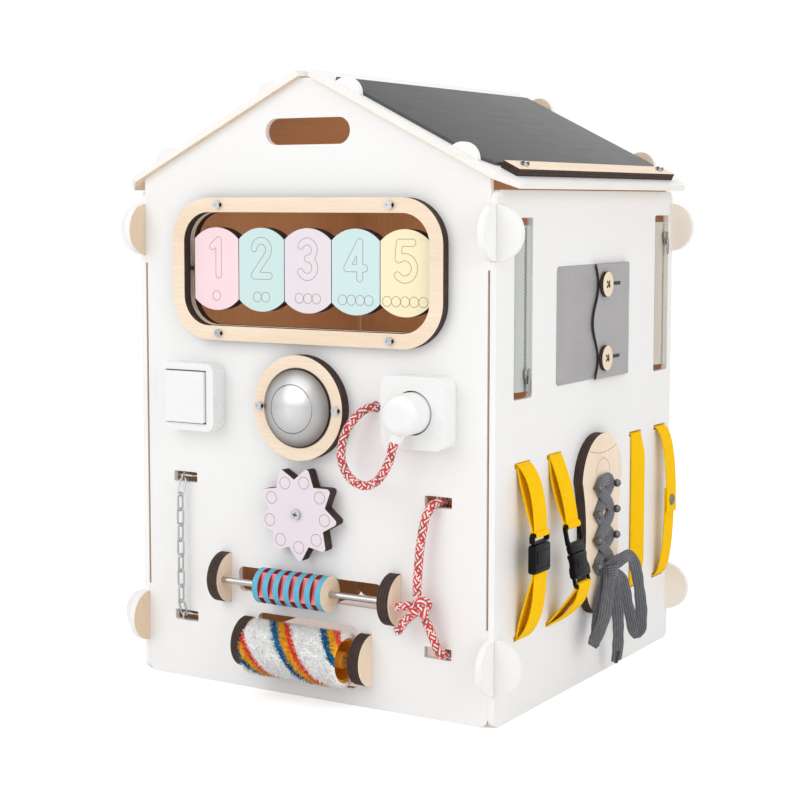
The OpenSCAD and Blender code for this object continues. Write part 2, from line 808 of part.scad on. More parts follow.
function ledge_start() = board_top + board_len + ledge_gap;
function ledge_screws() = [for (y = [ledge_inset + 24, back_mid - ledge_inset - 24])
    [ledge_start() + ledge_w / 2, y]];

module chalk_ledge() {
    color("burlywood") on_roof() translate([0, 0, ply_t + 2 * seat]) linear_extrude(ledge_t)
        difference() {
            translate([ledge_start(), ledge_inset])
                square([ledge_w, back_mid - 2 * ledge_inset]);
            for (p = ledge_screws()) translate(p) circle(d = screw_d + 2 * joint_fit);
        }
}

// Wood screws: the head sits on local z = 0 and the shank runs down
module wood_screw(l) {
    difference() {
        cylinder(d = screw_head_d, h = screw_head_h);
        translate([0, 0, screw_head_h]) cube([screw_head_d * 0.6, 0.9, 2], center = true);
    }
    translate([0, 0, -l]) cylinder(d = screw_d, h = l + screw_head_h / 4);
}

module wood_screws() {
    color("silver") {
        for (s = [-1, 1], t = [-1, 1])
            on_front(s * frame_screw_x, window_z + t * frame_screw_z)
                translate([0, 0, frame_t + 2 * seat]) wood_screw(frame_t + ply_t + screw_bite);
        for (s = [-1, 1]) on_front(light_x + s * ring_screw_x(), light_z)
            translate([0, 0, ring_t + 2 * seat]) wood_screw(ring_t + screw_bite);
        for (p = ledge_screws()) on_roof() translate([p[0], p[1], ply_t + ledge_t + 3 * seat])
            wood_screw(ledge_t + screw_bite);
        for (p = bracket_screws()) on_front(p[0], p[1]) translate([0, 0, -ply_t - seat])
            mirror([0, 0, 1]) wood_screw(ply_t + screw_bite);
        for (z = [toe_z + toe_r / 2, heel_z]) on_right(shoe_mid, z)
            translate([0, 0, -ply_t - seat]) mirror([0, 0, 1]) wood_screw(ply_t + screw_bite);
    }
}

// Window
module window_frame() {
    color("bisque") on_front(0, window_z) translate([0, 0, seat]) linear_extrude(frame_t)
        difference() {
            round_rect(frame_w, frame_h, frame_r);
            round_rect(window_w, window_h, window_r);
            frame_screw_holes();
        }
}

module frame_screw_holes() {
    for (s = [-1, 1], t = [-1, 1]) translate([s * frame_screw_x, t * frame_screw_z])
        circle(d = screw_d + 2 * joint_fit);
}

module window_backing_frame() {
    color("burlywood") on_front(0, window_z) translate([0, 0, -ply_t - seat - backing_t])
        linear_extrude(backing_t) difference() {
            round_rect(frame_w, frame_h, frame_r);
            round_rect(window_w, window_h, window_r);
            frame_screw_holes();
        }
}

module tile_rod() {
    l = opening_w + 2 * rod_seat - 2 * joint_fit;
    color("silver") translate([-l / 2, 0, window_z]) rotate([0, 90, 0])
        cylinder(d = rod_d, h = l);
}

module tile_outline() {
    straight = tile_h - 2 * tile_arc;
    centred_rect(tile_w, straight);
    for (s = [-1, 1]) intersection() {
        translate([0, s * (tile_h / 2 - tile_cap_r)]) circle(r = tile_cap_r);
        translate([0, s * tile_h / 4]) centred_rect(tile_w, tile_h / 2);
    }
}

module number_tile(n) {
    x = tile_start - window_w / 2 + tile_w / 2 + (n - 1) * tile_pitch;
    color(tile_colours[n - 1]) difference() {
        translate([x, tile_t / 2, window_z]) rotate([90, 0, 0]) linear_extrude(tile_t)
            tile_outline();
        translate([x - tile_w, 0, window_z]) rotate([0, 90, 0])
            cylinder(d = rod_d + 2 * tile_fit, h = 2 * tile_w);
    }
}

// Switch
module switch_base() {
    well_h = rocker_h + 2 * rocker_gap;
    color("white") on_front(switch_x, fixture_z) translate([0, 0, seat]) difference() {
        linear_extrude(switch_d) round_rect(box_w, box_w, box_r);
        translate([0, 0, switch_floor]) linear_extrude(switch_d)
            centred_rect(rocker_w + 2 * rocker_gap, well_h);
        translate([-rocker_w / 2 - 5, 0, rocker_axis]) rotate([0, 90, 0])
            cylinder(d = rocker_pin_d + 2 * running_fit, h = rocker_w + 10);
    }
}

module switch_rocker() {
    pin_l = rocker_w + 8;
    color("white") on_front(switch_x, fixture_z) translate([0, 0, seat]) {
        translate([0, 0, rocker_axis - rocker_back])
            linear_extrude(switch_d - rocker_axis + rocker_back + rocker_front)
                round_rect(rocker_w, rocker_h, 2);
        translate([-pin_l / 2, 0, rocker_axis]) rotate([0, 90, 0])
            cylinder(d = rocker_pin_d, h = pin_l);
    }
}

// Push light
module light_ring() {
    color("bisque") on_front(light_x, light_z) translate([0, 0, seat]) linear_extrude(ring_t)
        difference() {
            circle(d = ring_d, $fn = 96);
            circle(d = light_d + 2 * light_fit, $fn = 96);
            for (s = [-1, 1]) translate([s * ring_screw_x(), 0])
                circle(d = screw_d + 2 * joint_fit);
        }
}

module light_base() {
    color("silver") on_front(light_x, light_z) translate([0, 0, seat]) difference() {
        cylinder(d = light_d, h = light_base_h);
        translate([0, 0, light_wall]) cylinder(d = light_d - 2 * light_wall, h = light_base_h);
    }
}

// The dome's outer or inner skin, cut off at the top of the base
module dome(inset) {
    intersection() {
        translate([0, 0, light_base_h + dome_h - dome_r]) sphere(r = dome_r - inset, $fn = 96);
        translate([0, 0, light_base_h]) cylinder(d = light_d - 2 * inset, h = dome_h + eps);
    }
}

module light_bezel() {
    color("lightgray") on_front(light_x, light_z) translate([0, 0, 2 * seat]) difference() {
        dome(0);
        translate([0, 0, -eps / 100]) dome(light_wall);
        cylinder(d = cap_d + 2 * cap_gap, h = light_base_h + dome_h + eps);
    }
}

module light_cap() {
    flange_r = cap_d / 2 + cap_gap + cap_flange;
    under = light_base_h + dome_h - dome_r
        + sqrt(pow(dome_r - light_wall, 2) - flange_r * flange_r);
    color("lightgray") on_front(light_x, light_z) translate([0, 0, 2 * seat]) {
        difference() {
            intersection() {
                dome(0);
                cylinder(d = cap_d, h = light_base_h + dome_h);
            }
            dome(light_wall);
        }
        translate([0, 0, under - cap_flange_t - cap_gap]) difference() {
            cylinder(r = flange_r, h = cap_flange_t);
            translate([0, 0, -eps]) cylinder(d = cap_d - 2 * light_wall, h = 2 * eps + cap_flange_t);
        }
        translate([0, 0, under - cap_flange_t - cap_gap]) difference() {
            cylinder(d = cap_d, h = cap_flange_t + cap_gap + light_wall * 1.2);
            translate([0, 0, -eps])
                cylinder(d = cap_d - 2 * light_wall, h = cap_flange_t + cap_gap + 3 * light_wall);
        }
    }
}

module light_batteries() {
    color("goldenrod") on_front(light_x, light_z) for (k = [-1:1])
        translate([-cell_l / 2, k * (cell_d + 0.4), light_wall + 2 * seat + cell_d / 2])
            rotate([0, 90, 0]) cylinder(d = cell_d, h = cell_l);
}

// Star wheel
module star_wheel() {
    step = 180 / star_points;
    color("thistle") on_front(star_x, star_z) translate([0, 0, star_washer_t + 3 * seat])
        linear_extrude(star_t) difference() {
            polygon([for (i = [0:2 * star_points - 1])
                let (a = star_turn - 90 + i * step, out = [cos(a), sin(a)])
                each i % 2 == 1 ? [star_root * out]
                    : [for (b = [-70:35:70]) (star_tip - star_tip_r) * out
                        + star_tip_r * [cos(a + b), sin(a + b)]]]);
            circle(d = star_bolt_d + 2 * running_fit);
        }
}

module star_bolt() {
    out = star_washer_t + star_t + 5 * seat;
    shank = out + ply_t + 6;
    color("silver") on_front(star_x, star_z) {
        translate([0, 0, out]) difference() {
            cylinder(d = 2 * star_bolt_d, h = 3);
            translate([0, 0, 3]) cube([star_bolt_d, 1, 2], center = true);
        }
        translate([0, 0, out - shank]) cylinder(d = star_bolt_d, h = shank + 1);
        translate([0, 0, seat]) difference() {
            cylinder(d = 3 * star_bolt_d, h = star_washer_t);
            translate([0, 0, -eps]) cylinder(d = star_bolt_d + 2 * joint_fit, h = 2 * eps + star_washer_t);
        }
        translate([0, 0, -ply_t - seat - 4]) difference() {
            cylinder(d = 2 * star_bolt_d, h = 4, $fn = 6);
            translate([0, 0, -eps]) cylinder(d = star_bolt_d + 2 * joint_fit, h = 4 + 2 * eps);
        }
    }
}

// Rollers
module brackets(x, z, span) {
    for (s = [-1, 1]) difference() {
        translate([x + s * bracket_mid(span) - bracket_t / 2, front_y - seat, z])
            rotate([90, 0, 90]) linear_extrude(bracket_t) half_disc(bracket_r, -1);
        translate([x + s * (span / 2 + axle_seat / 2), axle_y, z]) rotate([0, 90, 0])
            cylinder(d = axle_d + 2 * running_fit, h = axle_seat + eps / 100, center = true);
        for (t = [-1, 1])
            translate([x + s * bracket_mid(span), front_y + eps, z + t * bracket_r * 0.55])
                rotate([90, 0, 0]) cylinder(d = screw_d + 2 * joint_fit, h = eps + screw_bite + 2 * seat);
    }
}

module axle(x, z, span) {
    l = span + 2 * (axle_seat - axle_end);
    translate([x - l / 2, axle_y, z]) rotate([0, 90, 0]) cylinder(d = axle_d, h = l);
}

module upper_brackets() {
    color("bisque") brackets(0, upper_z, upper_span);
}

module upper_rod() {
    color("silver") axle(0, upper_z, upper_span);
}

module striped_drum() {
    band_w = (drum_l - (drum_bands - 1) * groove_w) / drum_bands;
    core_w = drum_d - 2 * groove_depth;
    color("deepskyblue") translate([drum_x - drum_l / 2, axle_y, upper_z]) rotate([0, 90, 0])
        difference() {
            union() {
                intersection() {
                    rotate(core_tilt) translate([-core_w / 2, -core_w / 2, 0]) cube([core_w, core_w, drum_l]);
                    cylinder(d = drum_d - 1, h = drum_l);
                }
                for (i = [0:drum_bands - 1]) translate([0, 0, i * (band_w + groove_w)])
                    cylinder(d = drum_d, h = band_w);
            }
            translate([0, 0, -eps]) cylinder(d = axle_d + 2 * running_fit, h = drum_l + 2 * eps);
        }
}

module lower_brackets() {
    color("bisque") brackets(lower_x, lower_z, lower_span);
}

module lower_rod() {
    color("silver") axle(lower_x, lower_z, lower_span);
}

module paint_roller_core() {
    l = sleeve_l - 2 * core_inset;
    color("orange") translate([lower_x - l / 2, axle_y, lower_z]) rotate([0, 90, 0]) difference() {
        cylinder(d = core_d, h = l);
        translate([0, 0, -eps]) cylinder(d = axle_d + 2 * running_fit, h = l + 2 * eps);
        for (z = [-eps, l - core_cup]) translate([0, 0, z]) difference() {
            cylinder(d = core_d - 2 * core_wall, h = core_cup + eps);
            translate([0, 0, -eps]) cylinder(d = core_hub_d, h = core_cup + 3 * eps);
        }
    }
}

module paint_roller_sleeve() {
    color("white") translate([lower_x - sleeve_l / 2, axle_y, lower_z]) rotate([0, 90, 0])
        difference() {
            cylinder(d = sleeve_d, h = sleeve_l);
            translate([0, 0, -eps]) cylinder(d = core_d + 2 * seat, h = sleeve_l + 2 * eps);
        }
}

// Chain: points along its run, from inside the upper slot to inside the lower one
function chain_point(s) =
    let (turn = PI * chain_bend / 2, a = min(s, turn) / chain_bend * 180 / PI,
        b = max(0, s - turn - chain_drop) / chain_bend * 180 / PI,
        d = max(0, min(s - turn, chain_drop)))
    [0, slot_high - chain_bend * (1 - cos(a)) - d - chain_bend * sin(b),
        chain_off - chain_bend * (1 - sin(a)) - chain_bend * (1 - cos(b))];

// One oval link, its length along z and its wire in the plane of x and z
module chain_link() {
    bend_r = (link_w - chain_wire) / 2;
    straight = round(50 * (link_inner + chain_wire - 2 * bend_r)) / 50;
    for (s = [-1, 1]) {
        translate([s * bend_r, 0, -straight / 2]) cylinder(d = chain_wire, h = straight, $fn = 24);
        translate([0, 0, s * straight / 2]) rotate([90, 0, 0]) rotate_extrude(angle = s * 180, $fn = 32)
            translate([bend_r, 0]) circle(d = chain_wire, $fn = 24);
    }
}

module chain() {
    pin_in = -ply_t - chain_pin_d / 2 - seat;
    color("silver") on_front(chain_x, 0) {
        for (i = [0:chain_links - 1]) {
            s = i * link_pitch;
            a = chain_point(max(0, s - link_pitch / 2));
            b = chain_point(min(chain_run, s + link_pitch / 2));
            mid = i == 0 || i == chain_links - 1 ? chain_end(i) : (a + b) / 2;
            dir = i == 0 || i == chain_links - 1 ? [0, 0, 1] : b - a;
            translate(mid) rotate([atan2(-dir[1], dir[2]), 0, 0])
                rotate([0, 0, i % 2 == 0 ? 90 : 0]) chain_link();
        }
        for (z = [slot_high, slot_low]) translate([-chain_pin_l / 2, z, pin_in])
            rotate([0, 90, 0]) cylinder(d = chain_pin_d, h = chain_pin_l);
    }
}

// The end links lie level in their slots, round the pins
function chain_end(i) = [0, i == 0 ? slot_high : slot_low, chain_off - chain_bend];

// Socket and plug
module socket_base() {
    color("white") on_front(socket_x, fixture_z) translate([0, 0, seat]) difference() {
        linear_extrude(socket_d) round_rect(box_w, box_w, box_r);
        translate([0, 0, recess_floor]) cylinder(d = recess_d, h = socket_d);
        for (s = [-1, 1]) translate([s * pin_pitch / 2, 0, -eps])
            cylinder(d = pin_d + 2 * pin_fit, h = socket_d);
    }
}

module plug() {
    foot = recess_floor + seat + plug_gap;
    color("white") on_front(socket_x, fixture_z) {
        translate([0, 0, foot]) cylinder(d = plug_d, h = plug_reach - foot - plug_round);
        translate([0, 0, plug_reach - plug_round]) rotate_extrude() {
            square([plug_d / 2 - plug_round, plug_round]);
            translate([plug_d / 2 - plug_round, 0]) intersection() {
                circle(r = plug_round);
                square(plug_round);
            }
        }
        for (s = [-1, 1]) translate([s * pin_pitch / 2, 0, foot - pin_l])
            cylinder(d = pin_d, h = pin_l + eps);
        translate([0, 0, cord_off]) rotate([90, 0, cord_turn])
            cylinder(d1 = relief_root_d, d2 = relief_d, h = plug_d / 2 + relief_l);
    }
}

// The point at a distance from the plug's middle on the way in which its cord leaves
function cord_leave(r) = [r * sin(cord_turn), -r * cos(cord_turn), cord_off];

module plug_cord() {
    start = plug_d / 2 + relief_l + seat;
    route = concat(smooth(concat(PLUG_CORD_END, [cord_leave(start + cord_d)]), 3),
        [cord_leave(start)]);
    color("crimson") on_front(socket_x, fixture_z) {
        swept_tube(route, cord_d, cord_d, 8, [0.3, 0.1, 1]);
        translate(PLUG_CORD_END[0]) sphere(d = cord_knot_d, $fn = 24);
    }
}

// Rope
module rope() {
    fall = [0, slot_low - slot_high, 0];
    route = concat(ROPE_TOP, [for (p = ROPE_LOW) p + fall]);
    color("crimson") on_front(rope_x, slot_high)
        swept_tube(smooth(route, 3), cord_d, cord_d, 8, [1, 0.1, 0.1]);
}

module rope_knot() {
    color("crimson") on_front(rope_x, slot_high) {
        translate(ROPE_KNOT) sphere(r = rope_knot_r, $fn = 32);
        for (tail = ROPE_TAILS) swept_tube(smooth(tail, 2), cord_d, cord_d, 8, [0, 0.2, 1]);
    }
}

// Zips
module zip_tape(y) {
    top = zip_z + zip_h / 2 - tape_short;
    l = zip_h - 2 * tape_short;
    half = min(zip_w / 2 + tape_margin, rear_column - ply_t - 0.5);
    edge = zip_w / 2 - tape_t;
    section = concat([[half, tape_rest]],
        curve([edge, tape_rest], [edge * 0.95, tape_crest], [zip_split / 2, tape_crest], 8));
    on_right(y) for (s = [0, 1]) mirror([s, 0, 0]) translate([0, top, 0]) rotate([90, 0, 0])
        linear_extrude(l) {
            polygon(band(section, tape_t));
            translate([zip_split / 2, tape_crest]) square([teeth_w - zip_split / 2, teeth_h + tape_t / 2]);
        }
}

module zip_slider(y, z) {
    on_right(y, z) translate([0, 0, slider_base]) difference() {
        union() {
            translate([-slider_w / 2, -slider_l / 2, 0]) cube([slider_w, slider_l, slider_t]);
            translate([-pull_w / 2, -slider_l / 2 - pull_l + slider_l, slider_t - eps / 2])
                cube([pull_w, pull_l, pull_t + eps / 2]);
        }
        translate([-teeth_w - slider_fit, -slider_l, -eps])
            cube([2 * (teeth_w + slider_fit), 2 * slider_l, eps + teeth_h]);
    }
}

module front_zip_tape() {
    color("gray") zip_tape(front_zip_y);
}

module front_zip_slider() {
    color("gray") zip_slider(front_zip_y, front_slider_z + pull_l - slider_l);
}

module rear_zip_tape() {
    color("tan") zip_tape(rear_zip_y);
}

module rear_zip_slider() {
    color("tan") zip_slider(rear_zip_y, rear_slider_z);
}

// Pouch
module pouch_panel() {
    left = -pouch_w / 2;
    inside = -ply_t - seat - cloth_t;
    panel_w = pouch_w * 0.72;
    color("gray") on_right(pouch_mid, pouch_z) {
        translate([left + panel_w / 2, 0, inside]) linear_extrude(cloth_t)
            centred_rect(panel_w + 2 * pouch_edge, pouch_h + 2 * pouch_edge);
        translate([left + 1 + panel_w / 2, 0, inside]) linear_extrude(-inside + pouch_bulge)
            round_rect(panel_w, pouch_h - 2, 6);
        translate([flap_hinge - pouch_mid, 0, 0]) {
            translate([-flap_hinge_r / 2, -pouch_h / 2 + 4, inside])
                cube([flap_hinge_r, pouch_h - 8, -inside + flap_out + cloth_t / 2 - flap_hinge_r - 0.3]);
            translate([-12, -pouch_h / 2 - pouch_edge, inside])
                cube([24, pouch_h + 2 * pouch_edge, cloth_t]);
        }
    }
}

module pouch_flap() {
    half = pouch_h / 2 - 1;
    color("gray") on_right(flap_hinge, pouch_z) {
        translate([0, 0, flap_out]) linear_extrude(cloth_t) difference() {
            polygon(concat([[0, -half], [0, half]],
                [for (i = [0:16]) let (z = half - 2 * half * i / 16)
                    [-flap_w + flap_wave * (0.5 - cos(180 * z / button_rise)), z]]));
            for (s = [-1, 1]) translate([button_place - flap_hinge + slit_l / 2 - 8, s * button_rise])
                centred_rect(slit_l, slit_h);
        }
        translate([0, -half, flap_out + cloth_t / 2]) rotate([-90, 0, 0])
            cylinder(r = flap_hinge_r, h = 2 * half);
    }
}

module pouch_buttons() {
    color("burlywood") for (s = [-1, 1])
        on_right(button_place, pouch_z + s * button_rise) {
            translate([0, 0, pouch_bulge + seat])
                cylinder(d = button_shank_d, h = flap_out - pouch_bulge + cloth_t + 1);
            translate([0, 0, flap_out + cloth_t + 0.5]) cylinder(d = button_d, h = button_t);
        }
}

// Straps: paths are given as distance off the wall's face and height
module strap(y, path) {
    translate([side_x, y + strap_w / 2, 0]) rotate([90, 0, 0]) linear_extrude(strap_w)
        polygon(band(path, strap_t));
}

function strap_root(z, side) =
    let (x = -ply_t - strap_t / 2 - seat) [[x, z - side * strap_tail], [x, z]];
function strap_arch(z, side, bulge, end) = concat(strap_root(z, side),
    curve([1, z], [bulge, z - side * 8], [bulge, end]));
// The inner layer of a doubled strap stays near the wall
function layer_lead(lead, k) =
    k > 0 ? lead + [layer_spread, 0] : [max(strap_rest, lead[0] - layer_drop), lead[1]];
// One layer of a doubled strap: k is 1 outside and -1 inside
function strap_layer(z, side, lead, end, k) = concat(strap_root(z + side * k * layer, -side * k),
    curve([1, z + side * k * layer], layer_lead(lead, k), end + k * [layer, 0]));

module doubled_strap(y, z, side, lead, end, into = []) {
    for (k = [-1, 1]) strap(y, concat(strap_layer(z, side, lead, end, k),
        [for (p = into) p + k * [layer, 0]]));
}

function buckle_1_end(p) = strap_mid_z + p;

module strap_1_upper() {
    lead = [strap_1_off - layer_spread, strap_high - lead_drop];
    color("gold") doubled_strap(front_zip_y, strap_high, 1, lead,
        [strap_1_off, buckle_1_end(buckle_1_top + strap_gap)]);
}

module strap_1_lower() {
    lead = [strap_1_off - layer_spread, strap_low + lead_drop];
    color("gold") doubled_strap(front_zip_y, strap_low, -1, lead,
        [strap_1_off, buckle_1_end(buckle_1_bottom - 4)],
        [[strap_1_off, buckle_1_end(buckle_1_bottom + 5)]]);
}

// A place on a strap: local y runs up along the buckle and local z points off the wall
module on_strap(off, y, z, lean = 0) {
    translate([side_x + off, y, z]) rotate([0, -lean, 0]) rotate([90, 0, 90]) children();
}

module slab(w, low, high, t) {
    translate([-w / 2, low, -t / 2]) cube([w, high - low, t]);
}

module buckle_1_tongue() {
    foot = body_top + buckle_play;
    color("dimgray") on_strap(strap_1_off, front_zip_y, strap_mid_z) {
        difference() {
            slab(buckle_w, foot, buckle_1_top, buckle_t * 0.7);
            slab(strap_w + 1.5, foot + 2.2, buckle_1_top - 2.4, buckle_t);
        }
        slab(blade_w, -blade_reach, foot + eps, blade_t);
    }
}

module buckle_1_body() {
    color("dimgray") on_strap(strap_1_off, front_zip_y, strap_mid_z) difference() {
        slab(buckle_w, buckle_1_bottom, body_top, buckle_t);
        slab(blade_w + 2 * buckle_fit, -blade_reach - 1, body_top + 1, blade_t + 2 * buckle_fit);
        slab(strap_w + 1, buckle_1_bottom - eps, buckle_1_bottom + 6,
            2 * layer + strap_t + 2 * buckle_fit);
    }
}

function lean_point(p) =
    [buckle_2_off - p * sin(buckle_lean), buckle_2_z + p * cos(buckle_lean)];

module strap_2_upper() {
    color("gold") doubled_strap(strap_2_mid, strap_high, 1, lean_point(buckle_2_half + lead_high),
        lean_point(buckle_2_half + strap_gap));
}

module strap_2_lower() {
    color("gold") doubled_strap(strap_2_mid, strap_low, -1,
        lean_point(-buckle_2_half - lead_low) - [lead_tuck, 0], lean_point(-buckle_2_half - strap_gap));
}

module buckle_2_male() {
    foot = female_top + buckle_play;
    color("dimgray") on_strap(buckle_2_off, strap_2_mid, buckle_2_z, buckle_lean) {
        slab(buckle_w - 4, foot, male_mid + 0.5, buckle_t - 2);
        difference() {
            slab(buckle_w, male_mid, buckle_2_half, buckle_t * 0.6);
            slab(strap_w + 1.5, male_window, buckle_2_half - 3, buckle_t);
        }
        for (s = [-1, 1]) translate([s * prong_x, 0, 0])
            slab(prong_w, foot - prong_l, foot + eps, buckle_t * 0.4);
    }
}

module buckle_2_female() {
    well = prong_x + prong_w / 2 + buckle_fit;
    color("dimgray") on_strap(buckle_2_off, strap_2_mid, buckle_2_z, buckle_lean) difference() {
        slab(buckle_w, -buckle_2_half, female_top, buckle_t);
        slab(2 * well, female_top - buckle_play - prong_l, female_top + eps, buckle_t * 0.4 + 2 * buckle_fit);
        slab(buckle_w + eps, side_low, side_high, buckle_t * 0.4 + 2 * buckle_fit);
        for (low = [ladder_low, ladder_high])
            slab(strap_w + 1.5, low - buckle_2_half, low + ladder_h - buckle_2_half, buckle_t + eps);
    }
}

module strap_3() {
    flat = strap_t / 2 + seat;
    color("gold") strap(strap_3_mid, concat(strap_root(strap_high, 1), [[flat, strap_high]],
        [[flat, strap_low]], [for (i = [1, 0]) strap_root(strap_low, -1)[i]]));
}

module strap_4_upper() {
    color("gold") strap(rear_zip_y,
        strap_arch(strap_high, 1, strap_4_off, snap_z - snap_lap));
    color("gold") translate([side_x, rear_zip_y + strap_w / 2, strap_high]) rotate([90, 0, 0])
        cylinder(d = strap_fold_d, h = strap_w);
    color("silver") on_strap(strap_4_off + strap_t / 2 - 0.2, rear_zip_y, snap_z)
        cylinder(d = snap_d, h = snap_t);
}

module strap_4_lower() {
    off = strap_4_off - strap_t - 0.6;
    color("gold") strap(rear_zip_y, strap_arch(strap_low, -1, off, snap_z + snap_lap));
    color("silver") on_strap(off - strap_t / 2 + 0.2 - snap_t, rear_zip_y, snap_z)
        cylinder(d = snap_d, h = snap_t);
}

// Shoe
module shoe_outline() {
    side_r = 160;
    waist_z = (toe_z + heel_z) / 2;
    rise = toe_z - heel_z;
    lean = asin((toe_r - heel_r) / rise);
    difference() {
        union() {
            translate([0, toe_z]) circle(r = toe_r);
            translate([0, heel_z]) circle(r = heel_r);
            polygon([for (p = [[1, toe_r, toe_z], [-1, toe_r, toe_z], [-1, heel_r, heel_z],
                [1, heel_r, heel_z]]) [p[0] * p[1] * cos(lean), p[2] - p[1] * sin(lean)]]);
        }
        for (s = [-1, 1]) translate([s * (waist + side_r), waist_z]) circle(r = side_r, $fn = 180);
        for (z = [toe_z + toe_r / 2, heel_z]) translate([0, z]) circle(d = eps);
    }
}

module shoe_board() {
    color("bisque") on_right(shoe_mid) translate([0, 0, seat]) difference() {
        linear_extrude(shoe_t) shoe_outline();
        for (z = [toe_z + toe_r / 2, heel_z]) translate([0, z, -eps])
            cylinder(d = screw_d + 2 * joint_fit, h = eps + screw_bite + seat);
    }
}

module lace_hooks() {
    color("silver") on_right(shoe_mid) for (s = [-1, 1], row = [0:hook_rows - 1])
        translate([s * hook_span / 2, hook_top - row * hook_pitch, shoe_t + 2 * seat]) {
            cylinder(r = hook_post_r, h = hook_head_r);
            translate([0, 0, hook_head_r + 2]) sphere(r = hook_head_r, $fn = 32);
        }
}

module shoelace() {
    rest = shoe_t + 2 * seat + lace_t / 2 + 0.2;
    edge = hook_span / 2 - hook_post_r - lace_w / 2 - 0.6;
    knot = LACE_KNOT + [0, strap_low, 0];
    color("slategray") on_right(shoe_mid) {
        for (s = [-1, 1]) swept_tube(concat([for (row = [0:hook_rows - 1])
            [(row % 2 == 0 ? s : -s) * edge, hook_top - row * hook_pitch,
                rest + (s > 0 ? 0 : lace_t * 0.8)]], [knot]), lace_w, lace_t, 8, [0, 0, 1]);
        swept_tube([[-edge, hook_top, rest + lace_t / 3], [edge, hook_top, rest + lace_t / 3]],
            lace_w, lace_t, 8, [0, 0, 1]);
        translate([0, strap_low, 0]) {
            translate(LACE_KNOT) sphere(r = lace_knot_r, $fn = 24);
            for (loop = LACE_LOOPS) swept_tube(smooth(loop, 2), lace_w, lace_t, 8, [0.1, 0.2, 1]);
        }
    }
}

front_wall();
back_wall();
left_wall();
right_wall();
left_roof_panel();
right_roof_panel();
blackboard();
chalk_ledge();
wood_screws();
window_frame();
window_backing_frame();
tile_rod();
number_tile(1);  // number_tile_1
number_tile(2);  // number_tile_2
number_tile(3);  // number_tile_3
number_tile(4);  // number_tile_4
number_tile(5);  // number_tile_5
switch_base();
switch_rocker();
light_ring();
light_base();
light_bezel();
light_cap();
light_batteries();
star_wheel();
star_bolt();
upper_brackets();
upper_rod();
striped_drum();
lower_brackets();
lower_rod();
paint_roller_core();
paint_roller_sleeve();
chain();
socket_base();
plug();
plug_cord();
rope();
rope_knot();
front_zip_tape();
front_zip_slider();
rear_zip_tape();
rear_zip_slider();
pouch_panel();
pouch_flap();
pouch_buttons();
strap_1_upper();
strap_1_lower();
buckle_1_tongue();
buckle_1_body();
strap_2_upper();
strap_2_lower();
buckle_2_male();
buckle_2_female();
strap_3();
strap_4_upper();
strap_4_lower();
shoe_board();
lace_hooks();
shoelace();
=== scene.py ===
"""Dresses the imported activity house: plywood and paint, and detailed cords, straps, zips and pouch."""
import bpy
import bmesh
import math
import random
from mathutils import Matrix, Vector, noise


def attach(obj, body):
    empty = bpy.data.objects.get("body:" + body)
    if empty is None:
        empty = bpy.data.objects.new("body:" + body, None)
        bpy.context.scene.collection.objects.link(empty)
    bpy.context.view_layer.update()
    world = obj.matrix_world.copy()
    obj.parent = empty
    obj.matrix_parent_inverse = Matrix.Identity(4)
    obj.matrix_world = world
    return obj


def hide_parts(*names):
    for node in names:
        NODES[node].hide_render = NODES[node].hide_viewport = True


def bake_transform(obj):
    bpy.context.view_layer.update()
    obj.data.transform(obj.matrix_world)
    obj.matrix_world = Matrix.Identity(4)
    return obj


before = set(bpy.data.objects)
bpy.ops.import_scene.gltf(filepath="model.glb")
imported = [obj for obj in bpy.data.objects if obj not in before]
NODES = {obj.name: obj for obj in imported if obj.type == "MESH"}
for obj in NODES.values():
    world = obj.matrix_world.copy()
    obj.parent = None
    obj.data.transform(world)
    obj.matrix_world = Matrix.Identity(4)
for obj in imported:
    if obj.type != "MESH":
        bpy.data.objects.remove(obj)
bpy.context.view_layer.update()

MM = 0.001
FRONT = -3.0
SIDE = 200.0
HOUSE = "house"


# Places, in millimetres
def front(x, z, off=0.0):
    """A point off millimetres in front of the front wall."""
    return Vector((x, FRONT - off, z))


def right(y, z, off=0.0):
    """A point off millimetres outside the right wall."""
    return Vector((SIDE + off, y, z))


# Camera: its place in metres, how far it looks down and turns in degrees, its lens in millimetres
CAMERA_PLACE = (0.9197, -1.3746, 0.4749)
CAMERA_DOWN, CAMERA_TURN = 5.06, 31.53
CAMERA_LENS, CAMERA_SHIFT = 78.92, (0.027, -0.054)
cam = bpy.data.objects.new("Camera", bpy.data.cameras.new("Camera"))
bpy.context.collection.objects.link(cam)
cam.location = CAMERA_PLACE
cam.rotation_euler = (math.radians(90 - CAMERA_DOWN), 0, math.radians(CAMERA_TURN))
cam.data.sensor_width = 36
cam.data.lens = CAMERA_LENS
cam.data.shift_x, cam.data.shift_y = CAMERA_SHIFT
cam.data.clip_end = 50
cam.data.dof.use_dof = False
bpy.context.scene.camera = cam


# Mesh helpers
def make(name, verts, faces, mat=None, body=HOUSE, stands_for=(), uvs=None, smooth=True):
    """Makes a piece from points in millimetres and rides it on a body."""
    mesh = bpy.data.meshes.new(name)
    mesh.from_pydata([tuple(c * MM for c in v) for v in verts], [], faces)
    if uvs is not None:
        layer = mesh.uv_layers.new(name="UVMap")
        for loop in mesh.loops:
            layer.data[loop.index].uv = uvs[loop.vertex_index]
    mesh.validate()
    obj = bpy.data.objects.new(name, mesh)
    bpy.context.collection.objects.link(obj)
    for poly in mesh.polygons:
        poly.use_smooth = smooth
    if mat is not None:
        mesh.materials.append(mat)
    if body is not None:
        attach(obj, body)
    if stands_for:
        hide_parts(*stands_for)
    return obj


def recalc(obj):
    """Turns an object's faces outwards."""
    bm = bmesh.new()
    bm.from_mesh(obj.data)
    bmesh.ops.recalc_face_normals(bm, faces=bm.faces)
    bm.to_mesh(obj.data)
    bm.free()


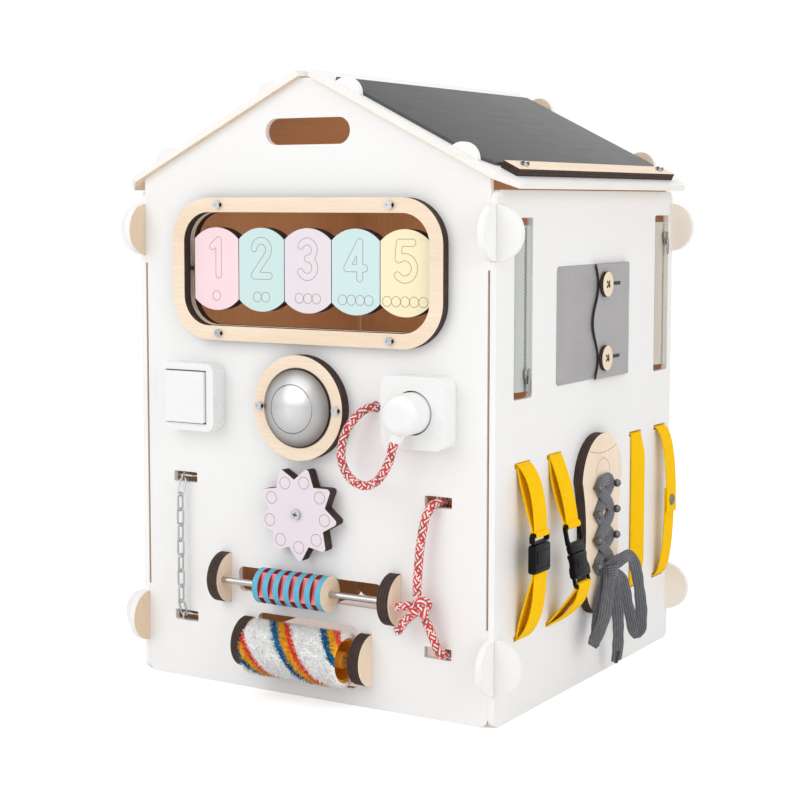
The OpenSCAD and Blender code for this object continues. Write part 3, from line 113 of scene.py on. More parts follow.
class Soup:
    """Collects the points, faces and texture places of one mesh."""

    def __init__(self):
        self.verts, self.faces, self.uvs = [], [], []

    def add(self, verts, faces, uvs=None):
        base = len(self.verts)
        self.verts += [Vector(v) for v in verts]
        self.faces += [tuple(base + i for i in f) for f in faces]
        self.uvs += uvs if uvs is not None else [(0.0, 0.0)] * len(verts)

    def build(self, name, mat, **kw):
        return make(name, self.verts, self.faces, mat, uvs=self.uvs, **kw)


def spline(points, step):
    """Points about step apart on a smooth curve through the given points."""
    p = [Vector(v) for v in points]
    out = []
    for i in range(len(p) - 1):
        a, b = p[max(0, i - 1)], p[i]
        c, d = p[i + 1], p[min(len(p) - 1, i + 2)]
        n = max(1, round((c - b).length / step))
        for k in range(n):
            s = k / n
            out.append(b + s * (c - a) / 2 + s * s * (2 * a - 5 * b + 4 * c - d) / 2
                       + s ** 3 * (3 * b - a - 3 * c + d) / 2)
    out.append(p[-1])
    return out


def lengths(path):
    """Distance along a path at each of its points."""
    total, out = 0.0, [0.0]
    for a, b in zip(path, path[1:]):
        total += (b - a).length
        out.append(total)
    return out


def headings(path):
    n = len(path)
    return [(path[min(n - 1, i + 1)] - path[max(0, i - 1)]).normalized() for i in range(n)]


def sweep(soup, path, profile, wide=None, out=None, ends=True, closed=True, shape=None):
    """Sweeps a profile of (across, thick) points along a path.

    wide is the direction of "across", or out the direction that "thick" keeps to. With neither the frame
    turns as little as it can. shape(i, k, a, t) may move a profile point."""
    n = len(profile)
    along = lengths(path)
    heads = headings(path)
    rim = [0.0]
    for a, b in zip(profile, profile[1:] + profile[:1]):
        rim.append(rim[-1] + math.hypot(b[0] - a[0], b[1] - a[1]))
    w = None
    verts, uvs, faces = [], [], []
    count = n + 1 if closed else n
    for i, (p, h) in enumerate(zip(path, heads)):
        if wide is not None:
            hint = wide[i] if isinstance(wide, list) else wide
            w = (hint - h * hint.dot(h)).normalized()
        elif out is not None:
            hint = out[i] if isinstance(out, list) else out
            w = h.cross(hint).normalized()
        elif w is None:
            side = Vector((0, 0, 1)) if abs(h.z) < 0.9 else Vector((1, 0, 0))
            w = h.cross(side).normalized()
        else:
            w = (w - h * w.dot(h)).normalized()
        t = w.cross(h)
        for k in range(count):
            a, c = profile[k % n]
            if shape:
                a, c = shape(along[i], rim[k], a, c)
            verts.append(p + w * a + t * c)
            uvs.append((rim[k] * MM, along[i] * MM))
    for i in range(len(path) - 1):
        for k in range(count - 1):
            a = i * count + k
            faces.append((a, a + 1, a + 1 + count, a + count))
    soup.add(verts, faces, uvs)
    if ends and closed:
        last = (len(path) - 1) * count
        for start, flip in ((0, False), (last, True)):
            ring = [verts[start + k] for k in range(n)]
            middle = sum(ring, Vector()) / n
            cap = [(n, (k + 1) % n, k) if not flip else (n, k, (k + 1) % n) for k in range(n)]
            soup.add(ring + [middle], cap, [uvs[start + k] for k in range(n)] + [uvs[start]])


def flat_profile(w, t, ribs=0):
    """A strap's cross-section: flat faces with round edges."""
    r = t / 2
    pts = []
    side = 4
    steps = max(2, ribs)
    for k in range(steps + 1):
        pts.append((-w / 2 + r + (w - 2 * r) * k / steps, r))
    for k in range(1, side):
        a = math.pi / 2 - math.pi * k / side
        pts.append((w / 2 - r + r * math.cos(a), r * math.sin(a)))
    for k in range(steps + 1):
        pts.append((w / 2 - r - (w - 2 * r) * k / steps, -r))
    for k in range(1, side):
        a = -math.pi / 2 - math.pi * k / side
        pts.append((-w / 2 + r + r * math.cos(a), r * math.sin(a)))
    return pts


def round_profile(d, n):
    turns = [-2 * math.pi * k / n for k in range(n)]
    return [(d / 2 * math.cos(a), d / 2 * math.sin(a)) for a in turns]


def lathe(soup, origin, axis, side, rings, n=48):
    """Turns (radius, height) rings about an axis. A radius of 0 closes the end."""
    axis, side = Vector(axis).normalized(), Vector(side).normalized()
    other = axis.cross(side)
    verts, faces, uvs = [], [], []
    for j, (r, h) in enumerate(rings):
        for k in range(n):
            a = 2 * math.pi * k / n
            out = side * math.cos(a) + other * math.sin(a)
            verts.append(Vector(origin) + axis * h + out * max(r, 1e-4))
            uvs.append((k / n, h * MM))
    for j in range(len(rings) - 1):
        for k in range(n):
            a, b = j * n + k, j * n + (k + 1) % n
            faces.append((a, b, b + n, a + n))
    faces.append(tuple(range(n - 1, -1, -1)))
    faces.append(tuple((len(rings) - 1) * n + k for k in range(n)))
    soup.add(verts, faces, uvs)


def plate(name, outlines, thick, edge, place, mat, **kw):
    """A flat plate with holes and rounded edges. place turns flat (x, y, z) millimetres into the frame."""
    curve = bpy.data.curves.new(name, "CURVE")
    curve.dimensions = "2D"
    curve.fill_mode = "BOTH"
    curve.extrude = thick / 2 - edge
    curve.bevel_depth = edge
    curve.bevel_resolution = 2
    curve.offset = -edge
    for line in outlines:
        sp = curve.splines.new("POLY")
        sp.points.add(len(line) - 1)
        for point, (x, y) in zip(sp.points, line):
            point.co = (x, y, 0, 1)
        sp.use_cyclic_u = True
    holder = bpy.data.objects.new(name + "_curve", curve)
    bpy.context.collection.objects.link(holder)
    graph = bpy.context.evaluated_depsgraph_get()
    mesh = bpy.data.meshes.new_from_object(holder.evaluated_get(graph))
    bpy.data.objects.remove(holder)
    bpy.data.curves.remove(curve)
    soup = Soup()
    soup.add([place(v.co.x, v.co.y, v.co.z) for v in mesh.vertices],
             [tuple(p.vertices) for p in mesh.polygons])
    bpy.data.meshes.remove(mesh)
    if kw.pop("soup_only", False):
        return soup
    obj = soup.build(name, mat, **kw)
    weld(obj)
    return obj


def weld(obj, dist=1e-6):
    bm = bmesh.new()
    bm.from_mesh(obj.data)
    bmesh.ops.remove_doubles(bm, verts=bm.verts, dist=dist)
    bmesh.ops.recalc_face_normals(bm, faces=bm.faces)
    bm.to_mesh(obj.data)
    bm.free()


def arc(cx, cy, r, a0, a1, n=8):
    return [(cx + r * math.cos(math.radians(a0 + (a1 - a0) * k / n)),
             cy + r * math.sin(math.radians(a0 + (a1 - a0) * k / n))) for k in range(n + 1)]


def round_rect(w, h, r, cx=0.0, cy=0.0, n=6):
    x, y = w / 2 - r, h / 2 - r
    return (arc(cx + x, cy + y, r, 0, 90, n) + arc(cx - x, cy + y, r, 90, 180, n)
            + arc(cx - x, cy - y, r, 180, 270, n) + arc(cx + x, cy - y, r, 270, 360, n))


# Material helpers
class Mat:
    """A material with a Principled shader and short calls for its nodes."""

    def __init__(self, name, colour=(0.8, 0.8, 0.8), rough=0.5, metal=0.0, **sockets):
        self.mat = bpy.data.materials.new(name)
        self.mat.use_nodes = True
        self.tree = self.mat.node_tree
        self.bsdf = self.tree.nodes["Principled BSDF"]
        self.bsdf.inputs["Base Color"].default_value = (*colour, 1)
        self.bsdf.inputs["Roughness"].default_value = rough
        self.bsdf.inputs["Metallic"].default_value = metal
        for key, value in sockets.items():
            self.bsdf.inputs[key.replace("_", " ")].default_value = value
        self.coords = self.tree.nodes.new("ShaderNodeTexCoord")

    def put(self, socket, value):
        """Links an output, or writes a constant, into an input socket."""
        if isinstance(value, bpy.types.NodeSocket):
            self.tree.links.new(value, socket)
        elif isinstance(value, (tuple, list)) and len(value) == 3 and socket.type == "RGBA":
            socket.default_value = (*value, 1)
        else:
            socket.default_value = value

    def node(self, kind, values=(), **props):
        n = self.tree.nodes.new("ShaderNode" + kind)
        for key, value in props.items():
            setattr(n, key, value)
        for key, value in dict(values).items():
            self.put(n.inputs[key], value)
        return n

    def math(self, op, a, b=0.0, clamp=False):
        n = self.node("Math", {0: a, 1: b}, operation=op)
        n.use_clamp = clamp
        return n.outputs[0]

    def mix(self, t, a, b, blend="MIX"):
        n = self.node("Mix", data_type="RGBA", blend_type=blend)
        self.put(n.inputs["Factor"], t)
        self.put(n.inputs["A"], a)
        self.put(n.inputs["B"], b)
        return n.outputs["Result"]

    def ramp(self, t, stops, mode="LINEAR"):
        n = self.node("ValToRGB", {"Fac": t})
        ramp = n.color_ramp
        ramp.interpolation = mode
        while len(ramp.elements) < len(stops):
            ramp.elements.new(0.5)
        for element, (pos, colour) in zip(ramp.elements, stops):
            element.position = pos
            element.color = (*colour, 1) if isinstance(colour, tuple) else (colour, colour, colour, 1)
        return n.outputs["Color"]

    def span(self, value, a, b, c=0.0, d=1.0):
        n = self.node("MapRange", {"Value": value, "From Min": a, "From Max": b, "To Min": c, "To Max": d})
        n.clamp = True
        return n.outputs["Result"]

    def place(self, scale=(1, 1, 1), turn=(0, 0, 0), coords="Object"):
        n = self.node("Mapping", {"Vector": self.coords.outputs[coords], "Scale": scale, "Rotation": turn})
        return n.outputs["Vector"]

    def noise(self, scale, vector=None, detail=4.0, rough=0.5):
        values = {"Scale": scale, "Detail": detail, "Roughness": rough}
        values["Vector"] = vector if vector is not None else self.coords.outputs["Object"]
        return self.node("TexNoise", values).outputs["Fac"]

    def split(self, vector):
        n = self.node("SeparateXYZ", {"Vector": vector})
        return n.outputs

    def from_axis(self, axes, centre):
        """Distance in metres from a line through a centre in millimetres, square to the two given axes."""
        p = self.split(self.coords.outputs["Object"])
        a, b = [self.math("SUBTRACT", p[i], c * MM) for i, c in zip(axes, centre)]
        return self.math("SQRT", self.math("ADD", self.math("MULTIPLY", a, a), self.math("MULTIPLY", b, b)))

    def bump(self, height, strength=0.3, distance=0.0005, before=None):
        values = {"Height": height, "Strength": strength, "Distance": distance}
        if before is not None:
            values["Normal"] = before
        return self.node("Bump", values).outputs["Normal"]

    def colour(self, value):
        self.put(self.bsdf.inputs["Base Color"], value)

    def rough(self, value):
        self.put(self.bsdf.inputs["Roughness"], value)

    def normal(self, value):
        self.put(self.bsdf.inputs["Normal"], value)


def grain(m, along, scale=1.0):
    """Fine wood grain from 0 to 1, with long streaks along one axis (0, 1 or 2), and broad figure."""
    stretch = [90.0 * scale] * 3
    stretch[along] = 4.0 * scale
    fine = m.noise(6.0, m.place(tuple(stretch)), detail=6.0, rough=0.65)
    broad = [16.0 * scale] * 3
    broad[along] = 1.6 * scale
    figure = m.noise(2.2, m.place(tuple(broad)), detail=3.0)
    return fine, figure


def facing(m, axis):
    """How far the surface faces along an axis, from -1 to 1."""
    n = m.split(m.coords.outputs["Normal"])
    if isinstance(axis, int):
        return n[axis]
    dot = m.node("VectorMath", {0: m.coords.outputs["Normal"], 1: axis}, operation="DOT_PRODUCT")
    return dot.outputs["Value"]


def raw_wood(m, along, light, dark, strength=0.32):
    """Colour of bare plywood with grain along an axis."""
    fine, figure = grain(m, along)
    base = m.mix(m.span(figure, 0.35, 0.7), light, dark)
    streak = m.span(fine, 0.42, 0.62, 0.0, strength)
    return m.mix(streak, base, tuple(c * 0.72 for c in dark)), fine


PAINT = (0.88, 0.875, 0.87)
INSIDE = (0.85, 0.68, 0.51)
INSIDE_DARK = (0.80, 0.61, 0.43)
CREAM = (0.92, 0.895, 0.86)
CREAM_DARK = (0.89, 0.85, 0.79)
PLY = (0.92, 0.76, 0.60)
PLY_DARK = (0.86, 0.68, 0.50)
WALL_RIM = ((0.93, 0.92, 0.90), (0.90, 0.885, 0.86))
# A paler copy of the inside wood: painted light for the tabs that stand outside the house
TAB_WOOD_PAINTED_LIGHT = (0.97, 0.89, 0.79)
BURNT = (0.024, 0.013, 0.010)
BURNT_LIGHT = (0.066, 0.035, 0.026)


def panel_material(name, outwards, along, rim=(CREAM, CREAM_DARK), tabs=False):
    """White paint outside, bare wood inside, bare wood with painted light on the tabs outside the house, and
    pale edges.
    """
    m = Mat(name, PAINT, 0.42)
    face = facing(m, outwards)
    wood, fine = raw_wood(m, along, INSIDE, INSIDE_DARK)
    # Painted light: the bare wood on tabs beyond the side walls is paler than inside
    if tabs:
        reach = m.math("ABSOLUTE", m.split(m.coords.outputs["Object"])[0])
        wood = m.mix(m.math("GREATER_THAN", reach, SIDE * MM), wood, TAB_WOOD_PAINTED_LIGHT)
    edge, _ = raw_wood(m, along, *rim, 0.14)
    blotch = m.noise(9.0, detail=3.0)
    paint = m.mix(m.span(blotch, 0.35, 0.7, 0.0, 0.35), PAINT, (0.86, 0.852, 0.842))
    is_out = m.math("GREATER_THAN", face, 0.5)
    is_in = m.math("LESS_THAN", face, -0.5)
    colour = m.mix(is_out, edge, paint)
    m.colour(m.mix(is_in, colour, wood))
    m.rough(m.mix(is_out, (0.7, 0.7, 0.7), m.ramp(m.noise(60.0), [(0.3, 0.36), (0.7, 0.46)])))
    peel = m.noise(420.0, detail=2.0)
    m.normal(m.bump(m.mix(is_out, fine, peel), 0.12, 0.0003))
    return m.mat


def burnt_plate(name, axis, along, light=PLY, dark=PLY_DARK, paint=None, rough=0.5, burn_and_shade=None):
    """Plywood cut by laser: a pale or painted face, and edges burnt dark with the plies showing.

    The last argument, a function of m, gives how far the face is darkened too, by burning and by painted
    shade."""
    m = Mat(name, light, rough)
    face = m.math("ABSOLUTE", facing(m, axis))
    wood, fine = raw_wood(m, along, light, dark, 0.2)
    if paint is not None:
        wood = m.mix(m.span(m.noise(14.0), 0.3, 0.75, 0.0, 0.25), paint, tuple(c * 0.94 for c in paint))
    if isinstance(axis, int):
        depth = m.split(m.coords.outputs["Object"])[axis]
    else:
        depth = m.node("VectorMath", {0: m.coords.outputs["Object"], 1: axis},
                       operation="DOT_PRODUCT").outputs["Value"]
    plies = m.math("SINE", m.math("MULTIPLY", depth, 2 * math.pi / 0.0031))
    soot = m.noise(120.0, detail=5.0)
    layers = m.math("ADD", m.span(plies, -1, 1, 0, 0.55), m.span(soot, 0.3, 0.75, 0, 0.6))
    edge = m.mix(m.span(layers, 0.25, 1.0), BURNT, BURNT_LIGHT)
    is_face = m.math("GREATER_THAN", face, 0.72)
    colour = m.mix(is_face, edge, wood)
    m.colour(m.mix(burn_and_shade(m), colour, BURNT) if burn_and_shade else colour)
    m.rough(m.mix(is_face, (0.85, 0.85, 0.85), m.ramp(fine, [(0.3, rough - 0.06), (0.7, rough + 0.1)])))
    m.normal(m.bump(m.mix(is_face, layers, fine), 0.22, 0.0003))
    return m.mat


def steel_material(name, colour=(0.70, 0.70, 0.71), rough=0.25, streak=(400, 400, 6)):
    m = Mat(name, colour, rough, 1.0)
    brushed = m.noise(3.0, m.place(streak), detail=5.0)
    wear = m.noise(45.0)
    m.colour(m.mix(m.span(wear, 0.4, 0.75, 0, 0.5), colour, tuple(c * 0.8 for c in colour)))
    m.rough(m.ramp(brushed, [(0.3, rough - 0.07), (0.7, rough + 0.12)]))
    m.normal(m.bump(brushed, 0.06, 0.0002))
    return m.mat


def plastic_material(name, colour, rough=0.3, speck=500.0, bump=0.05, gloss=0.5):
    m = Mat(name, colour, rough, Specular_IOR_Level=gloss)
    fine = m.noise(speck, detail=3.0)
    broad = m.noise(18.0)
    m.colour(m.mix(m.span(broad, 0.35, 0.7, 0, 0.3), colour, tuple(c * 0.95 for c in colour)))
    m.rough(m.ramp(broad, [(0.3, max(0.05, rough - 0.05)), (0.7, rough + 0.07)]))
    m.normal(m.bump(fine, bump, 0.0002))
    return m.mat


def weave_material(name, colour, dark, across, along, rough=0.85, twill=0.5, sheen=0.25, depth=0.5,
                   gloss=0.5):
    """Woven cloth from texture places in metres: across and along are the threads' pitches, and dark is
    painted shade between the threads.
    """
    m = Mat(name, colour, rough, Sheen_Weight=sheen, Sheen_Roughness=0.5, Specular_IOR_Level=gloss)
    u, v, _ = m.split(m.coords.outputs["UV"])
    a = m.math("MULTIPLY", u, 1 / across)
    b = m.math("MULTIPLY", v, 1 / along)
    diagonal = m.math("ADD", b, m.math("MULTIPLY", a, twill))
    warp = m.math("ABSOLUTE", m.math("SINE", m.math("MULTIPLY", a, math.pi)))
    weft = m.math("ABSOLUTE", m.math("SINE", m.math("MULTIPLY", diagonal, math.pi)))
    height = m.math("MULTIPLY", warp, weft)
    fuzz = m.noise(160.0, detail=4.0)
    # Painted shade: the dark colour fills the hollows between the threads, and fuzz gives uneven thread tone
    shade = m.math("ADD", m.math("MULTIPLY", height, 0.7), m.math("MULTIPLY", fuzz, 0.4))
    m.colour(m.mix(m.span(shade, 0.1, 0.75), dark, colour))
    m.normal(m.bump(height, depth, min(across, along) * 0.6))
    return m.mat


def braid_material(name, lefts, rights, around, pitch, turns):
    """Braided cord: two families of strands that pass over and under, with painted shade between them. around
    is the rim in metres.
    """
    m = Mat(name, lefts[0], 0.8, Sheen_Weight=0.15, Sheen_Roughness=0.5)
    u, v, _ = m.split(m.coords.outputs["UV"])
    a = m.math("MULTIPLY", u, turns / around)
    b = m.math("MULTIPLY", v, 1 / pitch)
    left, lean = m.math("ADD", a, b), m.math("SUBTRACT", a, b)
    i, j = m.math("FLOOR", left), m.math("FLOOR", lean)

    def strand(index, colours):
        n = len(colours)
        pick = m.math("DIVIDE", m.math("ADD", m.math("FLOORED_MODULO", index, float(n)), 0.5), float(n))
        return m.ramp(pick, [(k / n, c) for k, c in enumerate(colours)], "CONSTANT")
    over = m.math("FLOORED_MODULO", m.math("ADD", i, j), 2.0)
    colour = m.mix(m.math("GREATER_THAN", over, 0.5), strand(i, lefts), strand(j, rights))
    ridge = m.math("MULTIPLY", m.math("ABSOLUTE", m.math("SINE", m.math("MULTIPLY", left, math.pi))),
                   m.math("ABSOLUTE", m.math("SINE", m.math("MULTIPLY", lean, math.pi))))
    thread = m.math("ABSOLUTE", m.math("SINE", m.math("MULTIPLY", left, 3 * math.pi)))
    # Painted shade: the strands darken where they dip between their neighbours
    shade = m.math("ADD", m.math("MULTIPLY", ridge, 0.8), m.math("MULTIPLY", thread, 0.2))
    m.colour(m.mix(m.span(shade, 0.03, 0.4, 0.5, 1.0), (0.16, 0.07, 0.06), colour))
    m.normal(m.bump(shade, 0.5, 0.0005))
    return m.mat


def dress(node, mat, bevel=0.0, segments=2):
    """Gives a CAD node its material and softly rounded edges."""
    obj = NODES[node]
    obj.data.materials.clear()
    obj.data.materials.append(mat)
    if bevel:
        b = obj.modifiers.new("Edges", "BEVEL")
        b.width = bevel * MM
        b.segments = segments
        b.limit_method = "ANGLE"
        b.angle_limit = math.radians(40)
    return obj


# House panels
PANEL_EDGE = 0.35
PITCH = math.radians(26.5)
ROOF_OUT = (math.sin(PITCH), 0, math.cos(PITCH))
for side, out in (("front", (0, -1, 0)), ("back", (0, 1, 0)), ("left", (-1, 0, 0)), ("right", (1, 0, 0))):
    dress(side + "_wall", panel_material("Panel_" + side, out, 2, WALL_RIM, side == "back"), PANEL_EDGE)
for side, out in (("right", ROOF_OUT), ("left", (-ROOF_OUT[0], 0, ROOF_OUT[2]))):
    dress(side + "_roof_panel", panel_material("Panel_%s_roof" % side, out, 1), PANEL_EDGE)


def chalk_material():
    """Blackboard paint with wiped chalk dust, and painted light that makes it paler towards the back of the
    house.
    """
    m = Mat("Blackboard", (0.10, 0.10, 0.103), 0.75, Specular_IOR_Level=0.25)
    dust = m.noise(7.0, detail=6.0, rough=0.6)
    wipe = m.noise(3.0, m.place((40, 6, 40)), detail=4.0)
    back = m.split(m.coords.outputs["Object"])[1]
    smear = m.math("MULTIPLY", m.span(dust, 0.35, 0.75), m.span(wipe, 0.3, 0.7, 0.0, 0.3))
    # Painted light: the board grows paler towards the back; the smear added on top is chalk dust
    chalk_and_painted_light = m.math("ADD", m.span(back, 0.0, 0.4, 0.05, 0.78), smear)
    m.colour(m.mix(chalk_and_painted_light, (0.074, 0.075, 0.077), (0.215, 0.216, 0.219)))
    m.rough(m.ramp(dust, [(0.3, 0.62), (0.7, 0.82)]))
    m.normal(m.bump(m.noise(900.0), 0.15, 0.0002))
    return m.mat


dress("blackboard", chalk_material(), 0.3)
dress("chalk_ledge", burnt_plate("Ledge_plywood", ROOF_OUT, 1), 0.3)

PLY_FRONT = burnt_plate("Plywood_front", 1, 0)
PLY_SIDE = burnt_plate("Plywood_side", 0, 2)
dress("window_frame", PLY_FRONT, 0.5)
dress("window_backing_frame", PLY_FRONT, 0.5)
LIGHT_X, LIGHT_Z, LIGHT_R = -4.0, 281.0, 36.5


def bore_burn_and_shade(m):
    """1 on the ring's face next to its bore, and 0 from a millimetre further out: burnt wood, and painted
    shade of the gap round the light.
    """
    radius = m.from_axis((0, 2), (LIGHT_X, LIGHT_Z))
    return m.span(radius, (LIGHT_R + 1.2) * MM, (LIGHT_R + 2.2) * MM, 1.0, 0.0)


# The ring's face round its bore is darkened: laser burn and painted shade of the gap round the light
dress("light_ring", burnt_plate("Plywood_ring", 1, 0, burn_and_shade=bore_burn_and_shade), 0.4)
dress("shoe_board", PLY_SIDE, 0.6)
PLY_BRACKET = burnt_plate("Plywood_bracket", 0, 2)
dress("upper_brackets", PLY_BRACKET, 0.5)
dress("lower_brackets", PLY_BRACKET, 0.5)

TILE_PAINTS = {"Pink": (0.93, 0.70, 0.74), "Mint": (0.60, 0.78, 0.76), "Lilac": (0.80, 0.73, 0.78),
               "Aqua": (0.62, 0.79, 0.79), "Yellow": (0.94, 0.84, 0.55)}
STAR_PAINT = (0.80, 0.71, 0.77)
for number, (colour, paint) in enumerate(TILE_PAINTS.items(), 1):
    dress("number_tile_%d" % number, burnt_plate("Tile_" + colour, 1, 2, paint=paint, rough=0.45), 0.5)
dress("star_wheel", burnt_plate("Star_lilac", 1, 2, paint=STAR_PAINT, rough=0.45), 0.5)

# Metal and plastic
STEEL = steel_material("Steel_rod", (0.50, 0.48, 0.46), 0.2, (6, 400, 400))
ZINC = steel_material("Zinc", (0.50, 0.51, 0.52), 0.2, (200, 200, 200))
for rod in ("tile_rod", "upper_rod", "lower_rod"):
    dress(rod, STEEL, 0.3)
dress("chain", ZINC)
dress("star_bolt", steel_material("Bolt_zinc", (0.60, 0.61, 0.63), 0.22, (200, 200, 200)), 0.3)
WHITE = plastic_material("White_plastic", (0.87, 0.87, 0.865), 0.25)
dress("switch_base", WHITE, 2.2, 4)
dress("switch_rocker", WHITE, 1.4, 4)
dress("socket_base", WHITE, 2.0, 4)
dress("plug", WHITE, 0.8, 3)


def silver_material(name, rough):
    """Silver lacquer, with a painted highlight in the middle of the light and painted shade, dull and warm,
    towards its rim.
    """
    m = Mat(name, (0.60, 0.60, 0.60), rough, 0.75)
    share = m.math("DIVIDE", m.from_axis((0, 2), (LIGHT_X, LIGHT_Z)), LIGHT_R * MM)
    # Painted light: a painted highlight near the centre of the light and painted shade towards its rim
    tone = m.ramp(share, [(0.0, (0.80, 0.80, 0.81)), (0.5, (0.60, 0.60, 0.60)),
                          (0.78, (0.46, 0.45, 0.44)), (1.0, (0.17, 0.14, 0.12))])
    flake = m.noise(2500.0, detail=2.0)
    m.colour(m.mix(m.span(flake, 0.35, 0.7, 0.0, 0.2), tone, (0.42, 0.42, 0.42)))
    m.rough(m.ramp(m.noise(30.0), [(0.3, rough - 0.04), (0.7, rough + 0.06)]))
    m.normal(m.bump(flake, 0.04, 0.0001))
    return m.mat


LIGHT_BASE_H, DOME_H, CAP_R = 14.0, 13.0, 23.0
DOME_R = (LIGHT_R ** 2 + DOME_H ** 2) / (2 * DOME_H)


def dome_off(r):
    """Distance of the dome's face from the front wall at a radius."""
    return LIGHT_BASE_H + DOME_H - DOME_R + math.sqrt(DOME_R ** 2 - r * r) + 0.2


dress("light_base", silver_material("Light_base", 0.4), 0.4)
dress("light_bezel", silver_material("Light_bezel", 0.34), 0.3)
soup = Soup()
cap_rim = dome_off(CAP_R)
cap_rings = [(CAP_R - 0.3, cap_rim - 2.4), (CAP_R, cap_rim - 2.1), (CAP_R, cap_rim - 0.4),
             (CAP_R - 0.15, cap_rim - 0.12)]
cap_rings += [(r, dome_off(r)) for r in [(CAP_R - 0.4) * (1 - k / 30) for k in range(30)] + [0.05]]
lathe(soup, front(LIGHT_X, LIGHT_Z), (0, -1, 0), (1, 0, 0), cap_rings, 96)
cap = soup.build("light_cap_dome", silver_material("Light_cap", 0.3), body="light_cap",
                 stands_for=["light_cap"])
recalc(cap)
dress("light_batteries", steel_material("Battery", (0.72, 0.56, 0.22), 0.35), 0.3)


AXLE_Y = -17.0
DRUM_X, DRUM_L, DRUM_R, DRUM_Z = -5.5, 78.0, 17.0, 107.5


def drum_material():
    """Blue bands, a pink square core, red groove walls darkened with painted shade, and bare wooden ends."""
    m = Mat("Striped_drum", (0.1, 0.45, 0.75), 0.45)
    radius = m.from_axis((1, 2), (AXLE_Y, DRUM_Z))
    sideways = m.math("GREATER_THAN", m.math("ABSOLUTE", facing(m, 0)), 0.6)
    along = m.math("SUBTRACT", m.split(m.coords.outputs["Object"])[0], DRUM_X * MM)
    at_end = m.math("GREATER_THAN", m.math("ABSOLUTE", along), (DRUM_L / 2 - 0.5) * MM)
    wood, fine = raw_wood(m, 1, PLY, PLY_DARK)
    blue = m.mix(m.span(fine, 0.4, 0.65, 0, 0.4), (0.09, 0.42, 0.60), (0.15, 0.50, 0.68))
    pink = m.mix(m.span(fine, 0.4, 0.65, 0, 0.5), (0.92, 0.25, 0.26), (0.84, 0.20, 0.20))
    colour = m.mix(m.math("GREATER_THAN", radius, (DRUM_R - 0.35) * MM), pink, blue)
    # Groove walls: red paint, darkened with painted shade where they sit in the groove
    colour = m.mix(sideways, colour, (0.34, 0.03, 0.025))
    m.colour(m.mix(m.math("MULTIPLY", sideways, at_end), colour, wood))
    m.rough(m.ramp(fine, [(0.3, 0.4), (0.7, 0.55)]))
    m.normal(m.bump(fine, 0.12, 0.0002))
    return m.mat


dress("striped_drum", drum_material(), 0.35)
dress("paint_roller_core", plastic_material("Orange_core", (0.90, 0.40, 0.03), 0.4), 0.4)

# Cords: their routes repeat those of the solids
CORD_D = 8.0
CORD_SIDES = 36
BRAID_TURNS = 12
BRAID_PITCH = 2.5
BRAID_RIM = CORD_SIDES * CORD_D * math.sin(math.pi / CORD_SIDES)
CORD_RED, CORD_CREAM, CORD_DARK = (0.70, 0.035, 0.045), (0.90, 0.84, 0.78), (0.12, 0.10, 0.08)
BRAID_LEFT = [CORD_RED, CORD_CREAM, CORD_CREAM, CORD_RED, CORD_RED, CORD_DARK,
              CORD_CREAM, CORD_RED, CORD_CREAM, CORD_RED, CORD_RED, CORD_CREAM]
BRAID_RIGHT = [CORD_CREAM, CORD_RED, CORD_RED, CORD_CREAM, CORD_DARK, CORD_RED,
               CORD_CREAM, CORD_RED, CORD_RED, CORD_CREAM, CORD_RED, CORD_RED]
BRAID = braid_material("Braided_cord", BRAID_LEFT, BRAID_RIGHT, BRAID_RIM * MM, BRAID_PITCH * MM, BRAID_TURNS)
ROPE_X, SLOT_HIGH, SLOT_LOW = 142.0, 202.5, 62.5
ROPE_TOP = [(-13, -84.5, 16), (-12, -65.5, 16), (-10.5, -37.5, 14), (-7, -15.5, 12), (-3, -3.5, 8),
            (-1, 0, 0), (-1, 0, -8), (0, -5.5, -16), (0, -32.5, -19)]
ROPE_LOW = [(1, 32.5, -19), (4, 6.5, -16), (7, 0, -8), (7, 0, 0), (6, 3.5, 8), (2, 15.5, 11), (-5, 33.5, 14)]
ROPE_TAILS = [[(-10, -93.5, 16), (-15, -94.0, 18), (-22, -94.5, 19), (-32, -96.5, 19)],
              [(-9, -97.5, 15), (-15, -101.0, 17), (-23, -107.5, 18), (-32, -119.5, 18)]]
ROPE_KNOT = (-9, -95.5, 16)
ROPE_KNOT_SIZE = 2.55
SOCKET_X, FIXTURE_Z = 127.0, 285.5
PLUG_CORD = [(-51.5, 0.5, -16), (-51.5, 0.5, -6), (-52, 0.5, 3), (-58, -2.5, 12), (-67, -14.5, 20),
             (-72, -30.5, 25),
             (-72, -47.5, 27), (-62, -62.5, 29), (-45, -68.5, 31), (-29, -61.5, 33), (-17, -45.5, 35),
             (-11.7, -32.0, 37), (-8.9, -24.5, 37)]


def braid_lift(along, rim, a, t):
    """Raises the strands of a braided cord."""
    turn = rim * BRAID_TURNS / BRAID_RIM
    left, lean = turn + along / BRAID_PITCH, turn - along / BRAID_PITCH
    ridge = abs(math.sin(math.pi * left)) * abs(math.sin(math.pi * lean))
    k = 0.95 + 0.12 * ridge
    return a * k, t * k


def braided(soup, points, step=0.7):
    path = spline(points, step)
    sweep(soup, path, round_profile(CORD_D, CORD_SIDES), shape=braid_lift)
    return path


def knot_curve(centre, size, depth, turn=0.0, n=90):
    """The points of a round knot in the wall's plane, a little deeper than wide strands."""
    out = []
    for k in range(n + 1):
        a = 2 * math.pi * k / n * 0.97
        x, z = math.sin(a) + 2 * math.sin(2 * a), math.cos(a) - 2 * math.cos(2 * a)
        c, s = math.cos(turn), math.sin(turn)
        out.append(front(centre[0] + size * (c * x - s * z), centre[1] + size * (s * x + c * z),
                         centre[2] - depth * math.sin(3 * a)))
    return out


